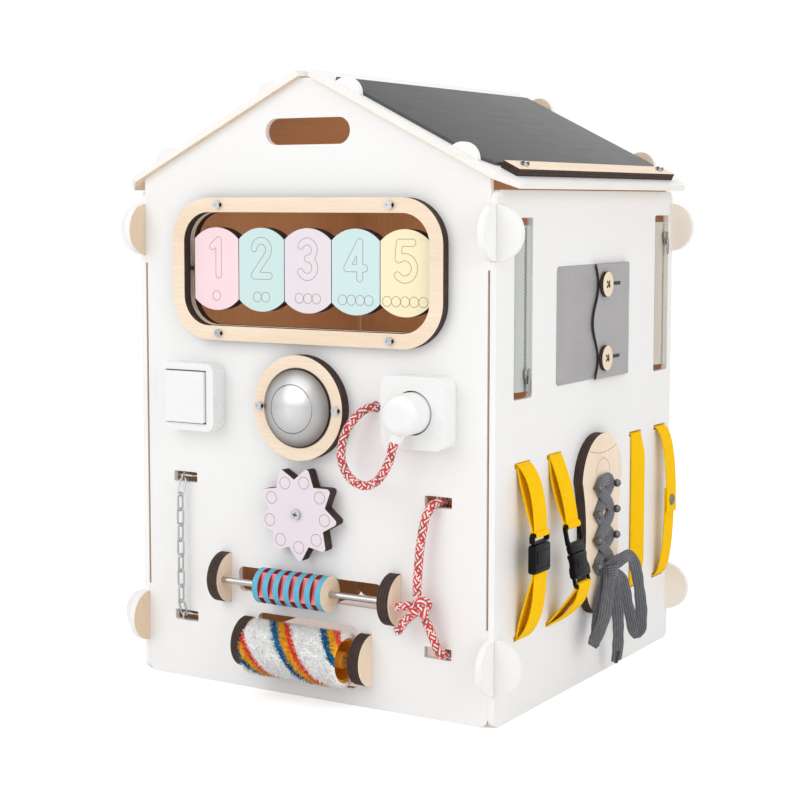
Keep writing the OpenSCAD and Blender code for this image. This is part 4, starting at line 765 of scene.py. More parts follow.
def fray(soup, tip, way, n=26, seed=1):
    """Loose threads at a cut end of a cord."""
    rng = random.Random(seed)
    way = way.normalized()
    side = way.cross(Vector((0, 0, 1))).normalized()
    other = way.cross(side)
    for _ in range(n):
        r, a = CORD_D / 2 * math.sqrt(rng.random()) * 0.9, rng.uniform(0, 2 * math.pi)
        root = tip + side * r * math.cos(a) + other * r * math.sin(a) - way * 1.0
        lean = (side * math.cos(a) + other * math.sin(a)) * r * rng.uniform(0.0, 0.45)
        end = root + way * rng.uniform(2.2, 4.6) + lean
        sweep(soup, [root, (root + end) / 2 + lean * 0.2, end], round_profile(0.5, 5))


def metres(path):
    return [tuple(p * MM) for p in path]


rope_soup = Soup()
rope_path = braided(rope_soup, [front(ROPE_X + x, SLOT_HIGH + z, o) for x, z, o in ROPE_TOP]
                    + [front(ROPE_X + x, SLOT_LOW + z, o) for x, z, o in ROPE_LOW])
rope = rope_soup.build("rope_braid", BRAID, stands_for=["rope"])
knot_soup = Soup()
knot_at = (ROPE_X + ROPE_KNOT[0], SLOT_HIGH + ROPE_KNOT[1], ROPE_KNOT[2])
braided(knot_soup, knot_curve(knot_at, ROPE_KNOT_SIZE, 4.0, 0.5), 1.0)
for k, tail in enumerate(ROPE_TAILS):
    tail_path = braided(knot_soup, [front(ROPE_X + x, SLOT_HIGH + z, o) for x, z, o in tail])
    fray(knot_soup, tail_path[-1], tail_path[-1] - tail_path[-4], seed=k)
rope_knot = knot_soup.build("rope_knot_braid", BRAID, stands_for=["rope_knot"])
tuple(metres(rope_path)[0])
lengths(rope_path)[-1] * MM

cord_soup = Soup()
cord_path = braided(cord_soup, [front(SOCKET_X + x, FIXTURE_Z + z, o) for x, z, o in PLUG_CORD])
plug_cord = cord_soup.build("plug_cord_braid", BRAID, body=None, stands_for=["plug_cord"])
stop_soup = Soup()
stop_x, stop_z, stop_off = PLUG_CORD[0]
braided(stop_soup, knot_curve((SOCKET_X + stop_x, FIXTURE_Z + stop_z, stop_off), 1.7, 3.0), 1.0)
cord_stop = stop_soup.build("plug_cord_stop_knot", BRAID)
free_x, free_z, free_off = PLUG_CORD[2]
tuple(front(SOCKET_X + free_x, FIXTURE_Z + free_z, free_off) * MM)
tuple(metres(cord_path)[-1])
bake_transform(plug_cord)
tuple(metres(cord_path)[0])
lengths(cord_path)[-1] * MM

# Shoelace: one flat lace from tail to tail
LACE_W, LACE_T = 12.0, 2.0
SHOE_MID, STRAP_LOW = 207.0, 75.0
HOOK_TOP, HOOK_PITCH, HOOK_ROWS = 195.0, 26.0, 4
LACE_EDGE = 14.5
LACE_REST = 11.8
LACE_KNOT = (-5, 35, 21)
TAIL_A = [(22, -61, 17), (19, -47, 20), (10, -17, 24), (2, 13, 24)]
LOOP_A = [(-16, 23, 25), (-32, -3, 28), (-45, -18, 27.5), (-48, -25, 24.5), (-43, -27, 22), (-32, -19, 20),
          (-20, 5, 17), (-9, 27, 17)]
LOOP_B = [(8, 46, 27), (24, 47, 30), (38, 29, 31), (50, -5, 31), (55, -30, 30), (54, -37, 27),
          (49, -36, 25), (40, -9, 22), (24, 23, 21), (4, 33, 18)]
TAIL_B = [(-12, 17, 15), (-20, -9, 14), (-24, -29, 14)]


def lace_zigzag(side, lift):
    """The lace from the knot up to the top row, crossing between the hooks."""
    out = []
    for row in range(HOOK_ROWS - 1, -1, -1):
        x = LACE_EDGE * (side if row % 2 == 0 else -side)
        z = HOOK_TOP - STRAP_LOW - row * HOOK_PITCH
        out += [(x * 0.72, z - 5.0, LACE_REST + lift), (x, z, LACE_REST + 0.6),
                (x * 0.72, z + 5.0, LACE_REST + lift)]
    return out


LACE_LIFT = 2.1
lace_route = (TAIL_A + [LACE_KNOT] + LOOP_A + [(-6, 38, 16)] + lace_zigzag(1, 0.0)
              + lace_zigzag(-1, LACE_LIFT)[::-1] + [(-4, 38, 18)] + LOOP_B + [(-4, 33, 20)] + TAIL_B)
LACE = weave_material("Grey_lace", (0.19, 0.195, 0.215), (0.022, 0.023, 0.03), 0.0024, 0.0026, rough=0.8,
                      twill=1.0)


def lace_bulge(along, rim, a, t):
    """Tubular lace: thicker in the middle and a little uneven along its length."""
    belly = 1 - (2 * a / LACE_W) ** 2
    wide = 1 + 0.06 * math.sin(along / 7.0) + 0.04 * math.sin(along / 2.9 + 1.0)
    return a * wide, t * (0.75 + 0.6 * belly)


lace_soup = Soup()
lace_path = spline([right(SHOE_MID + y, STRAP_LOW + z, o) for y, z, o in lace_route], 2.0)


def lace_out(p):
    """The lace lies flat on the shoe and turns on edge in the bow."""
    free = min(1.0, max(0.0, (p.x - SIDE - 14.0) / 8.0))
    return Vector((1, -0.3, 0.1)).lerp(Vector((0.62, -0.75, 0.25)), free)


sweep(lace_soup, lace_path, flat_profile(LACE_W, LACE_T, 8), out=[lace_out(p) for p in lace_path],
      shape=lace_bulge)
lace = lace_soup.build("shoelace_woven", LACE, stands_for=["shoelace"])
knot_soup = Soup()
wrap = [right(SHOE_MID + LACE_KNOT[0] + 6.5 * math.cos(a), STRAP_LOW + LACE_KNOT[1] + 1.5 * math.sin(a),
              LACE_KNOT[2] + 1.0 + 6.0 * math.sin(a)) for a in [2 * math.pi * k / 24 for k in range(25)]]
sweep(knot_soup, wrap, flat_profile(LACE_W + 1, LACE_T, 6), wide=Vector((0.1, 0.3, 1)), shape=lace_bulge)
lace_knot = knot_soup.build("shoelace_knot", LACE)
tip_soup = Soup()
for end, back in ((lace_path[0], lace_path[3]), (lace_path[-1], lace_path[-4])):
    way = (end - back).normalized()
    lathe(tip_soup, end - way * 2.0, way, way.cross(Vector((1, 0, 0))),
          [(0.0, -10.0), (2.4, -10.0), (2.4, -9.4), (2.2, -9.0), (2.2, 3.6), (2.0, 4.2), (0.0, 4.4)], 20)
AGLET = plastic_material("Aglet_black", (0.02, 0.02, 0.023), 0.3)
lace_tips = tip_soup.build("shoelace_tips", AGLET)
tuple(metres(lace_path)[0])
lengths(lace_path)[-1] * MM

# Straps of webbing
PLY_T, SEAT = 6.0, 0.1
STRAP_W, STRAP_T, STRAP_TAIL = 25.0, 1.6, 25.0
STRAP_HIGH = 235.0
STRAP_1_Y, STRAP_2_Y, STRAP_3_Y, STRAP_4_Y = 50.5, 117.0, 309.5, 374.0
STRAP_1_OFF, STRAP_4_OFF = 18.0, 15.0
STRAP_LAYER, STRAP_SPREAD, STRAP_DROP, STRAP_REST, STRAP_GAP = 1.1, 4.0, 12.0, 1.8, 0.8
STRAP_MID = (STRAP_HIGH + STRAP_LOW) / 2
BUCKLE_1_TOP, BUCKLE_1_BOTTOM = 19.0, -18.0
BUCKLE_2_Z, BUCKLE_2_OFF, BUCKLE_2_HALF, BUCKLE_LEAN = STRAP_LOW + 67.4, 24.7, 30.0, math.radians(12)
LEAD_TUCK = 9.0
SNAP_Z, SNAP_LAP = 157.0, 13.0
WEBBING = weave_material("Yellow_webbing", (1.0, 0.62, 0.0), (0.98, 0.52, 0.0), 0.0031, 0.0021, rough=0.8,
                         twill=0.5, sheen=0.0, depth=0.3, gloss=0.12)


def quad(a, b, c, n=22):
    a, b, c = Vector(a), Vector(b), Vector(c)
    return [(1 - s) ** 2 * a + 2 * s * (1 - s) * b + s * s * c for s in [k / n for k in range(n + 1)]]


def strap_root(z, way):
    """From the strap's tail behind the wall, round a fold, to the slot; the tail lies on the side of way."""
    x = -PLY_T - STRAP_T / 2 - SEAT
    fold = 1.6
    bend = [Vector((x + fold - fold * math.cos(a), z + way * (fold - fold * math.sin(a))))
            for a in [math.pi / 2 * k / 5 for k in range(6)]]
    return [Vector((x, z + way * STRAP_TAIL)), Vector((x, z + way * 8))] + bend


def strap_layer(z, side, lead, end, k):
    """One layer of a doubled strap: k is 1 outside and -1 inside."""
    start = z + side * k * STRAP_LAYER
    turn = (lead[0] + STRAP_SPREAD, lead[1]) if k > 0 else (max(STRAP_REST, lead[0] - STRAP_DROP), lead[1])
    return strap_root(start, side * k) + quad((1, start), turn, Vector(end) + k * Vector((STRAP_LAYER, 0)))


def strap_arch(z, side, bulge, end):
    return strap_root(z, -side) + quad((1, z), (bulge, z - side * 8), (bulge, end))


def web(along, rim, a, t):
    """Webbing: thick selvedges and fine ribs across."""
    edge = max(0.0, abs(a) / (STRAP_W / 2) - 0.86) / 0.14
    return a + 0.08 * math.sin(along * 2.1), t * (0.92 + 0.22 * edge * (1 - edge) * 4)


def strap(soup, y, path, turn=None):
    """Webbing along a path of (off the wall, height) points; turn gives a direction across it at a height."""
    points = [right(y, p[1], p[0]) for p in path]
    fine = [points[0]]
    for p in points[1:]:
        n = max(1, round((p - fine[-1]).length / 1.4))
        start = fine[-1]
        fine += [start.lerp(p, k / n) for k in range(1, n + 1)]
    sweep(soup, fine, flat_profile(STRAP_W, STRAP_T, 14), shape=web,
          wide=[turn(p.z) for p in fine] if turn else Vector((0, 1, 0)))


def lean_point(p):
    return (BUCKLE_2_OFF - p * math.sin(BUCKLE_LEAN), BUCKLE_2_Z + p * math.cos(BUCKLE_LEAN))


def doubled_strap(name, y, z, side, lead, end, into=(), body=HOUSE):
    soup = Soup()
    for k in (-1, 1):
        tucked = [Vector(p) + k * Vector((STRAP_LAYER, 0)) for p in into]
        strap(soup, y, strap_layer(z, side, lead, end, k) + tucked)
    return soup.build(name + "_webbing", WEBBING, body=body, stands_for=[name])


LEAD_1_OFF = STRAP_1_OFF - STRAP_SPREAD
upper_1 = doubled_strap("strap_1_upper", STRAP_1_Y, STRAP_HIGH, 1, (LEAD_1_OFF, STRAP_HIGH - 12),
                        (STRAP_1_OFF, STRAP_MID + BUCKLE_1_TOP + STRAP_GAP), body=None)
right(STRAP_1_Y, STRAP_HIGH - 4, 0) * MM
right(STRAP_1_Y, STRAP_MID + BUCKLE_1_TOP, STRAP_1_OFF) * MM
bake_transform(upper_1)
doubled_strap("strap_1_lower", STRAP_1_Y, STRAP_LOW, -1, (LEAD_1_OFF, STRAP_LOW + 12),
              (STRAP_1_OFF, STRAP_MID + BUCKLE_1_BOTTOM - 4),
              [(STRAP_1_OFF, STRAP_MID + BUCKLE_1_BOTTOM + 5)])
upper_2 = doubled_strap("strap_2_upper", STRAP_2_Y, STRAP_HIGH, 1, lean_point(BUCKLE_2_HALF + 32),
                        lean_point(BUCKLE_2_HALF + STRAP_GAP), body=None)
upper_2_end = lean_point(BUCKLE_2_HALF)
right(STRAP_2_Y, STRAP_HIGH - 4, 0) * MM
right(STRAP_2_Y, upper_2_end[1], upper_2_end[0]) * MM
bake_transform(upper_2)
lower_2_lead = lean_point(-BUCKLE_2_HALF - 22)
doubled_strap("strap_2_lower", STRAP_2_Y, STRAP_LOW, -1, (lower_2_lead[0] - LEAD_TUCK, lower_2_lead[1]),
              lean_point(-BUCKLE_2_HALF - STRAP_GAP))


def bar_loop(name, y, place, top, bar, body, half):
    """The fold of a strap round a buckle's bar: out over the front, in through the window and up behind."""
    r = half + STRAP_T / 2 + 0.15
    low = top - bar - STRAP_T / 2 - 0.15
    line = [(1.9, top + 1.4), (r * 0.8, top + 0.7), (r, top - 0.5), (r, low + 1.4), (r * 0.72, low + 0.25),
            (0.0, low), (-r * 0.72, low + 0.25),
            (-r, low + 1.4), (-r, top - 0.5), (-r * 0.8, top + 0.7), (-1.9, top + 1.4)]
    soup = Soup()
    strap(soup, y, [Vector(place(a, b)) for a, b in spline_flat(line)])
    return soup.build(name, WEBBING, body=body)


def spline_flat(line):
    return [(p.x, p.y) for p in spline([Vector((a, b, 0)) for a, b in line], 0.8)]


def on_buckle_1(a, b):
    return (STRAP_1_OFF + a, STRAP_MID + b)


def on_buckle_2(a, b):
    x, z = lean_point(b)
    return (x + a * math.cos(BUCKLE_LEAN), z + a * math.sin(BUCKLE_LEAN))


BUCKLE_W, BUCKLE_T = 33.0, 7.5
TONGUE_T, MALE_T = 0.7 * BUCKLE_T, 0.6 * BUCKLE_T
bar_loop("buckle_1_strap_fold", STRAP_1_Y, on_buckle_1, BUCKLE_1_TOP, 2.4, "buckle_1_tongue", TONGUE_T / 2)
bar_loop("buckle_2_strap_fold", STRAP_2_Y, on_buckle_2, BUCKLE_2_HALF, 3.0, "buckle_2_male", MALE_T / 2)
bar_loop("buckle_2_lower_fold", STRAP_2_Y, lambda a, b: on_buckle_2(a, -b), BUCKLE_2_HALF, 3.0, HOUSE,
         0.45 * BUCKLE_T / 2)
flat_soup = Soup()
SLACK_TURN = math.radians(10)


def slack_turn(z):
    """The third strap hangs slack, with its far edge off the wall."""
    a = SLACK_TURN * slack(z)
    return Vector((math.sin(a), math.cos(a), 0))


def slack(z):
    """0 at the strap's slots and 1 along its middle."""
    k = min(1.0, max(0.0, min(STRAP_HIGH - z, z - STRAP_LOW) / 26.0))
    return k * k * (3 - 2 * k)


def slack_off(z):
    return STRAP_T / 2 + SEAT + (STRAP_W / 2 * math.sin(SLACK_TURN) + 0.4) * slack(z)


SLACK_STEPS = 40
slack_fall = STRAP_HIGH - STRAP_LOW - 5.0
slack_line = [STRAP_HIGH - 2.5 - slack_fall * k / SLACK_STEPS for k in range(SLACK_STEPS + 1)]


def slot_turn(z, way):
    """The third strap's turn into a slot, from behind the wall outwards."""
    return strap_root(z, way) + [Vector((-1, z)), Vector((slack_off(z) - 0.3, z - way * 0.6))]


strap(flat_soup, STRAP_3_Y, slot_turn(STRAP_HIGH, 1) + [Vector((slack_off(z), z)) for z in slack_line]
      + slot_turn(STRAP_LOW, -1)[::-1], slack_turn)
flat_soup.build("strap_3_webbing", WEBBING, stands_for=["strap_3"])
soup = Soup()
strap(soup, STRAP_4_Y, strap_arch(STRAP_HIGH, 1, STRAP_4_OFF, SNAP_Z - SNAP_LAP))
upper_4 = soup.build("strap_4_upper_webbing", WEBBING, body=None, stands_for=["strap_4_upper"])
right(STRAP_4_Y, STRAP_HIGH + 1, -1) * MM
right(STRAP_4_Y, STRAP_HIGH - 9, 6) * MM
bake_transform(upper_4)
soup = Soup()
strap(soup, STRAP_4_Y, strap_arch(STRAP_LOW, -1, STRAP_4_OFF - STRAP_T - 0.6, SNAP_Z + SNAP_LAP))
soup.build("strap_4_lower_webbing", WEBBING, stands_for=["strap_4_lower"])
SNAP_METAL = steel_material("Snap_metal", (0.24, 0.21, 0.18), 0.3, (200, 200, 200))
for name, body, off, way in (("strap_snap_cap", "strap_4_upper", STRAP_4_OFF + STRAP_T / 2, 1),
                             ("strap_snap_stud", HOUSE, STRAP_4_OFF - 2 * STRAP_T - 0.2, -1)):
    soup = Soup()
    lathe(soup, right(STRAP_4_Y, SNAP_Z, off), (way, 0, 0), (0, 1, 0),
          [(0.0, -0.3), (6.0, -0.3), (6.0, 0.5), (5.6, 1.1), (4.6, 1.4), (3.6, 1.3), (2.6, 1.0),
           (0.0, 0.9)], 40)
    soup.build(name, SNAP_METAL, body=body)
BLACK = plastic_material("Black_plastic", (0.004, 0.004, 0.0045), 0.28, 900.0, 0.08, 0.11)


def buckle_1_place(lift=0.0):
    return lambda a, b, c: right(STRAP_1_Y + a, STRAP_MID + b, STRAP_1_OFF + c + lift)


def buckle_2_place(lift=0.0):
    def place(a, b, c):
        x, z = on_buckle_2(c + lift, b)
        return right(STRAP_2_Y + a, z, x)
    return place


def buckle(name, parts, body):
    """A moulded buckle half made of rounded plates: (outlines, thickness, edge radius, place) each."""
    soup = Soup()
    for outlines, thick, edge, place in parts:
        part = plate("p", outlines, thick, edge, place, None, soup_only=True)
        soup.add(part.verts, part.faces)
    obj = soup.build(name + "_moulded", BLACK, body=body, stands_for=[name])
    weld(obj)
    return obj


WINDOW_W = STRAP_W + 1.5
BODY_TOP, BLADE_REACH, BLADE_W, BLADE_T = 9.0, 9.0, 18.0, 2.6
body_mid = (BODY_TOP + BUCKLE_1_BOTTOM) / 2
buckle("buckle_1_body", [
    ([round_rect(BUCKLE_W, BODY_TOP - BUCKLE_1_BOTTOM, 3.4, 0, body_mid)], BUCKLE_T, 1.7, buckle_1_place()),
    ([round_rect(BUCKLE_W - 9, 13.0, 2.4, 0, body_mid + 1.0)], 1.4, 0.6, buckle_1_place(BUCKLE_T / 2)),
    ([round_rect(BUCKLE_W - 3, 2.2, 1.0, 0, BUCKLE_1_BOTTOM + 4.0)], 1.2, 0.5, buckle_1_place(BUCKLE_T / 2))
], HOUSE)
tongue_low = BODY_TOP + 0.4
tongue_mid = (tongue_low + BUCKLE_1_TOP) / 2
tongue_frame = [round_rect(BUCKLE_W, BUCKLE_1_TOP - tongue_low, 3.4, 0, tongue_mid),
                round_rect(WINDOW_W, BUCKLE_1_TOP - tongue_low - 4.6, 1.6, 0, tongue_mid)]
blade_top = tongue_low + 1.0
blade = round_rect(BLADE_W, blade_top + BLADE_REACH, 1.5, 0, (blade_top - BLADE_REACH) / 2)
buckle("buckle_1_tongue", [(tongue_frame, TONGUE_T, 1.1, buckle_1_place()),
                           ([blade], BLADE_T, 0.5, buckle_1_place())], "buckle_1_tongue")
FEMALE_TOP, WAIST_W = 2.0, 27.0
half_w, half_waist = BUCKLE_W / 2, WAIST_W / 2
SHOULDER, LADDER_T = -14.0, 0.45 * BUCKLE_T
female = arc(half_w - 2.5, SHOULDER - 4.5, 2.5, -90, 0, 4)
female += [(half_w, SHOULDER), (half_w - 0.6, SHOULDER + 3.0), (half_waist + 0.4, -8.6), (half_waist, -6.0),
           (half_waist + 0.4, -3.4), (half_w - 1.4, -1.2), (half_w - 1.6, FEMALE_TOP - 0.8),
           (half_w - 2.4, FEMALE_TOP)]
female += [(-a, b) for a, b in female[::-1]]
ladder_mid, ladder_h = (SHOULDER - BUCKLE_2_HALF) / 2, BUCKLE_2_HALF + SHOULDER
ladder = [round_rect(BUCKLE_W, ladder_h, 4.0, 0, ladder_mid),
          round_rect(WINDOW_W, ladder_h - 8.5, 1.8, 0, ladder_mid - 1.2)]
thumb_pad = round_rect(WAIST_W - 7, 9.0, 3.0, 0, -7.5)
buckle("buckle_2_female", [([female], BUCKLE_T, 1.8, buckle_2_place()),
                           (ladder, LADDER_T, 1.1, buckle_2_place()),
                           ([thumb_pad], 1.4, 0.6, buckle_2_place(BUCKLE_T / 2))], HOUSE)
MALE_LOW, MALE_MID, MALE_WINDOW = FEMALE_TOP + 0.4, 8.5, 13.0
PRONG_X, PRONG_W, PRONG_L = 9.3, 4.4, 13.0
male_frame = [round_rect(BUCKLE_W, BUCKLE_2_HALF - MALE_MID, 4.5, 0, (BUCKLE_2_HALF + MALE_MID) / 2),
              round_rect(WINDOW_W, BUCKLE_2_HALF - 3 - MALE_WINDOW, 3.0, 0,
                         (BUCKLE_2_HALF - 3 + MALE_WINDOW) / 2)]
neck = [(-14.0, MALE_LOW), (14.0, MALE_LOW), (14.4, MALE_LOW + 2), (15.6, MALE_MID + 1),
        (-15.6, MALE_MID + 1), (-14.4, MALE_LOW + 2)]
male_parts = [(male_frame, MALE_T, 1.3, buckle_2_place()), ([neck], BUCKLE_T - 2, 1.2, buckle_2_place())]
for side in (-1, 1):
    prong = [(side * (PRONG_X + w * PRONG_W / 2), b) for w, b in
             ((-1, MALE_LOW + 1), (-1, MALE_LOW - PRONG_L + 2), (-0.5, MALE_LOW - PRONG_L),
              (0.6, MALE_LOW - PRONG_L),
              (1, MALE_LOW - PRONG_L + 3), (1, MALE_LOW - 6), (0.7, MALE_LOW - 4), (0.9, MALE_LOW + 1))]
    male_parts.append(([prong[::side]], 0.4 * BUCKLE_T, 0.5, buckle_2_place()))
buckle("buckle_2_male", male_parts, "buckle_2_male")

# Zips
ZIP_W, ZIP_H, ZIP_Z = 37.0, 165.0, 377.78
TAPE_T, TAPE_REST, TAPE_CREST, TAPE_HALF, TAPE_SHORT = 1.0, -6.6, 1.4, 22.5, 7.0
TEETH_PITCH = 1.7


def zip_tape(name, y, mat, teeth_mat):
    """Two woven tapes that bulge out through the opening, with a row of teeth on their meeting edges."""
    top, low = ZIP_Z + ZIP_H / 2 - TAPE_SHORT, ZIP_Z - ZIP_H / 2 + TAPE_SHORT
    edge = ZIP_W / 2 - TAPE_T
    line = [Vector((TAPE_HALF, TAPE_REST))]
    line += quad((edge, TAPE_REST), (edge * 0.95, TAPE_CREST), (0.3, TAPE_CREST), 18)
    n = 60
    path = [right(y, low + (top - low) * k / n, 0) for k in range(n + 1)]
    soup, teeth = Soup(), Soup()
    for s in (1, -1):
        ring = []
        for shift in (TAPE_T / 2, -TAPE_T / 2):
            side = []
            for i, p in enumerate(line):
                way = (line[min(len(line) - 1, i + 1)] - line[max(0, i - 1)]).normalized()
                q = p + shift * Vector((way[1], -way[0]))
                side.append((s * q[0], q[1]))
            ring += side if shift > 0 else side[::-1]
        if s > 0:
            ring.reverse()

        def ripple(along, rim, a, t, s=s):
            wave = 0.35 * math.sin(along / 17.0 + s) + 0.2 * math.sin(along / 6.3 + 2 * s)
            inner = 1 - min(1.0, abs(a) / edge)
            return a, t + wave * inner * (1 - inner) * 2
        sweep(soup, path, ring, wide=Vector((0, 1, 0)), shape=ripple)
    count = int((top - low) / TEETH_PITCH)
    for k in range(count):
        s = 1 if k % 2 else -1
        z = low + (k + 0.5) * TEETH_PITCH
        loop = [right(y + s * 2.1, z - 0.35, TAPE_CREST + 0.5), right(y + s * 0.4, z - 0.2, TAPE_CREST + 1.5),
                right(y - s * 0.75, z, TAPE_CREST + 1.2), right(y + s * 0.4, z + 0.3, TAPE_CREST + 0.7),
                right(y + s * 2.1, z + 0.45, TAPE_CREST + 0.6)]
        sweep(teeth, spline(loop, 0.7), round_profile(0.9, 6))
    soup.build(name + "_woven", mat, stands_for=[name])
    teeth.build(name + "_teeth", teeth_mat)


GREY_TAPE = weave_material("Grey_zip_tape", (0.62, 0.64, 0.61), (0.49, 0.505, 0.48), 0.0012, 0.0012,
                           rough=0.8)
BEIGE_TAPE = weave_material("Beige_zip_tape", (0.68, 0.63, 0.55), (0.57, 0.52, 0.45), 0.0012, 0.0012,
                            rough=0.8)
GREY_TEETH = plastic_material("Grey_zip_teeth", (0.36, 0.38, 0.36), 0.35)
BEIGE_TEETH = plastic_material("Beige_zip_teeth", (0.60, 0.54, 0.45), 0.35)
zip_tape("front_zip_tape", STRAP_1_Y, GREY_TAPE, GREY_TEETH)
zip_tape("rear_zip_tape", STRAP_4_Y, BEIGE_TAPE, BEIGE_TEETH)


def zip_slider(name, y, z, mat):
    """A zip's slider: a shield-shaped body, a bridge over it and a flat pull with a hole."""
    base = TAPE_CREST + TAPE_T / 2 + 0.3

    def flat(off):
        return lambda x, v, w: right(y + x, z + v, off + w)
    shield = [(-4.9, 6.6), (-2.2, 7.0), (-0.8, 5.4), (0.8, 5.4), (2.2, 7.0), (4.9, 6.6), (5.0, 3.0),
              (3.6, -1.5), (3.2, -6.2), (2.4, -7.0), (-2.4, -7.0), (-3.2, -6.2), (-3.6, -1.5), (-5.0, 3.0)]
    parts = [plate("p", [shield], 1.3, 0.4, flat(base + 2.5), None, soup_only=True)]
    pull = [(-2.0, -2.0), (-3.0, -4.6), (-3.0, -14.2)] + arc(0, -14.2, 3.0, 180, 360, 10)
    pull += [(3.0, -4.6), (2.0, -2.0), (1.6, 0.4), (-1.6, 0.4)]
    holes = [round_rect(2.0, 1.4, 0.6, 0.0, -1.2), round_rect(2.6, 6.0, 1.2, 0.0, -11.4)]
    parts.append(plate("p", [pull] + holes, 1.1, 0.35, flat(base + 4.75), None, soup_only=True))
    soup = Soup()
    for part in parts:
        soup.add(part.verts, part.faces)
    for x in (-4.3, 4.3):
        rail = [right(y + x, z - 1.5, base + 2.2), right(y + x, z + 6.0, base + 2.2)]
        sweep(soup, rail, [(p * 0.8, q * 2.0) for p, q in round_profile(1.6, 12)])
    bridge = [right(y, z - 5.0, base + 2.6), right(y, z - 4.6, base + 4.2), right(y, z - 2.0, base + 5.0),
              right(y, z + 1.6, base + 5.0), right(y, z + 4.2, base + 4.2), right(y, z + 4.6, base + 2.6)]
    sweep(soup, spline(bridge, 0.6), flat_profile(1.7, 0.8, 2), wide=Vector((0, 1, 0)))
    obj = soup.build(name + "_metal", mat, body=name, stands_for=[name])
    weld(obj)
    return obj


DARK_METAL = steel_material("Zip_metal", (0.40, 0.39, 0.38), 0.25, (200, 200, 200))
ZIP_LOW, ZIP_TOP = ZIP_Z - ZIP_H / 2, ZIP_Z + ZIP_H / 2
zip_slider("front_zip_slider", STRAP_1_Y, ZIP_LOW + 11 + 10, DARK_METAL)
zip_slider("rear_zip_slider", STRAP_4_Y, ZIP_TOP - 24, DARK_METAL)

# Pouch
POUCH_Y, POUCH_W, POUCH_H = 201.5, 161.0, 110.0
POUCH_Z = ZIP_LOW + 7 + POUCH_H / 2
POUCH_BULGE, CLOTH_T = 3.0, 2.0
PANEL_W = POUCH_W * 0.72
PANEL_FOLD, PANEL_ROLL = 13.0, 4.0
PANEL_SWELL, PANEL_SWELL_AT, PANEL_SWELL_W = 1.3, 16.0, 15.0
POUCH_LAP = 1.6
FLAP_OUT = POUCH_BULGE + 0.5
FLAP_HINGE = POUCH_Y + POUCH_W / 2 - 1.8
FLAP_W = 86.0
BUTTON_Y, BUTTON_RISE, BUTTON_D, BUTTON_T = POUCH_Y + 14, 36.5, 25.0, 4.0


def leather_material(name, colour):
    m = Mat(name, colour, 0.5, Sheen_Weight=0.12, Sheen_Roughness=0.4)
    cells = m.node("TexVoronoi", {"Scale": 430.0, "Vector": m.coords.outputs["Object"]}).outputs["Distance"]
    fine = m.noise(1500.0, detail=3.0)
    broad = m.noise(16.0, detail=4.0)
    tone = m.mix(m.span(broad, 0.3, 0.72), tuple(c * 0.92 for c in colour),
                 tuple(min(1, c * 1.08) for c in colour))
    speck = m.span(cells, 0.05, 0.6, 0.0, 0.45)
    m.colour(m.mix(speck, tone, tuple(c * 0.75 for c in colour)))
    m.rough(m.ramp(broad, [(0.3, 0.42), (0.7, 0.58)]))
    pebbles = m.math("ADD", m.math("MULTIPLY", cells, 0.8), m.math("MULTIPLY", fine, 0.3))
    m.normal(m.bump(pebbles, 0.35, 0.0004))
    return m.mat


LEATHER = leather_material("Grey_leathercloth", (0.42, 0.41, 0.41))
# Near black for the flap's rim, its dark backing with painted shade under the lifted edge, and for the button
# slits, painted shade
CUT_EDGE_AND_SHADE = plastic_material("Cut_edge_and_shade", (0.03, 0.024, 0.022), 0.6)


def cloth_sheet(name, columns, height_of, thick, body, stands_for, mat, edge_mat=None):
    """A sheet with a front, a back and a rim.

    columns are rows of flat points, and height_of gives the front's distance off the wall."""
    n, m = len(columns), len(columns[0])
    front_side = [right(u, v, height_of(u, v)) for col in columns for u, v in col]
    back_side = [right(u, v, height_of(u, v) - thick) for col in columns for u, v in col]
    uvs = [(u * MM, v * MM) for col in columns for u, v in col] * 2
    faces, rims = [], []
    base = n * m
    for i in range(n - 1):
        for j in range(m - 1):
            a, b, c, d = i * m + j, (i + 1) * m + j, (i + 1) * m + j + 1, i * m + j + 1
            faces += [(a, b, c, d), (base + a, base + d, base + c, base + b)]
    ring = list(range(m)) + [i * m + m - 1 for i in range(1, n)]
    ring += [(n - 1) * m + j for j in range(m - 2, -1, -1)] + [i * m for i in range(n - 2, 0, -1)]
    for a, b in zip(ring, ring[1:] + ring[:1]):
        rims.append((a, b, base + b, base + a))
    obj = make(name, front_side + back_side, faces + rims, mat, body, stands_for, uvs=uvs)
    if edge_mat:
        obj.data.materials.append(edge_mat)
        for poly in obj.data.polygons:
            if poly.index >= len(faces):
                poly.material_index = 1
    recalc(obj)
    return obj


def edge_fall(distance, reach):
    """0 on a sheet's edge, 1 from reach inwards, round like a fold."""
    k = max(0.0, 1 - distance / reach)
    return math.sqrt(max(0.0, 1 - k * k))


def panel_height(u, v):
    left = POUCH_Y - POUCH_W / 2 - POUCH_LAP
    low, high = POUCH_Z - POUCH_H / 2 - POUCH_LAP, POUCH_Z + POUCH_H / 2 + POUCH_LAP
    fold = edge_fall(u - left, PANEL_FOLD) * edge_fall(v - low, PANEL_ROLL) * edge_fall(high - v, PANEL_ROLL)
    hump = math.exp(-((u - left - PANEL_SWELL_AT) / PANEL_SWELL_W) ** 2)
    swell = PANEL_SWELL * hump * math.sin(math.pi * (v - low) / (high - low))
    crease = 0.25 * noise.noise(Vector((u * 0.05, v * 0.03, 1.0)))
    crease += 0.08 * noise.noise(Vector((u * 0.2, v * 0.16, 4.0)))
    return 0.3 + (POUCH_BULGE - 0.9) * fold + (swell + crease) * fold


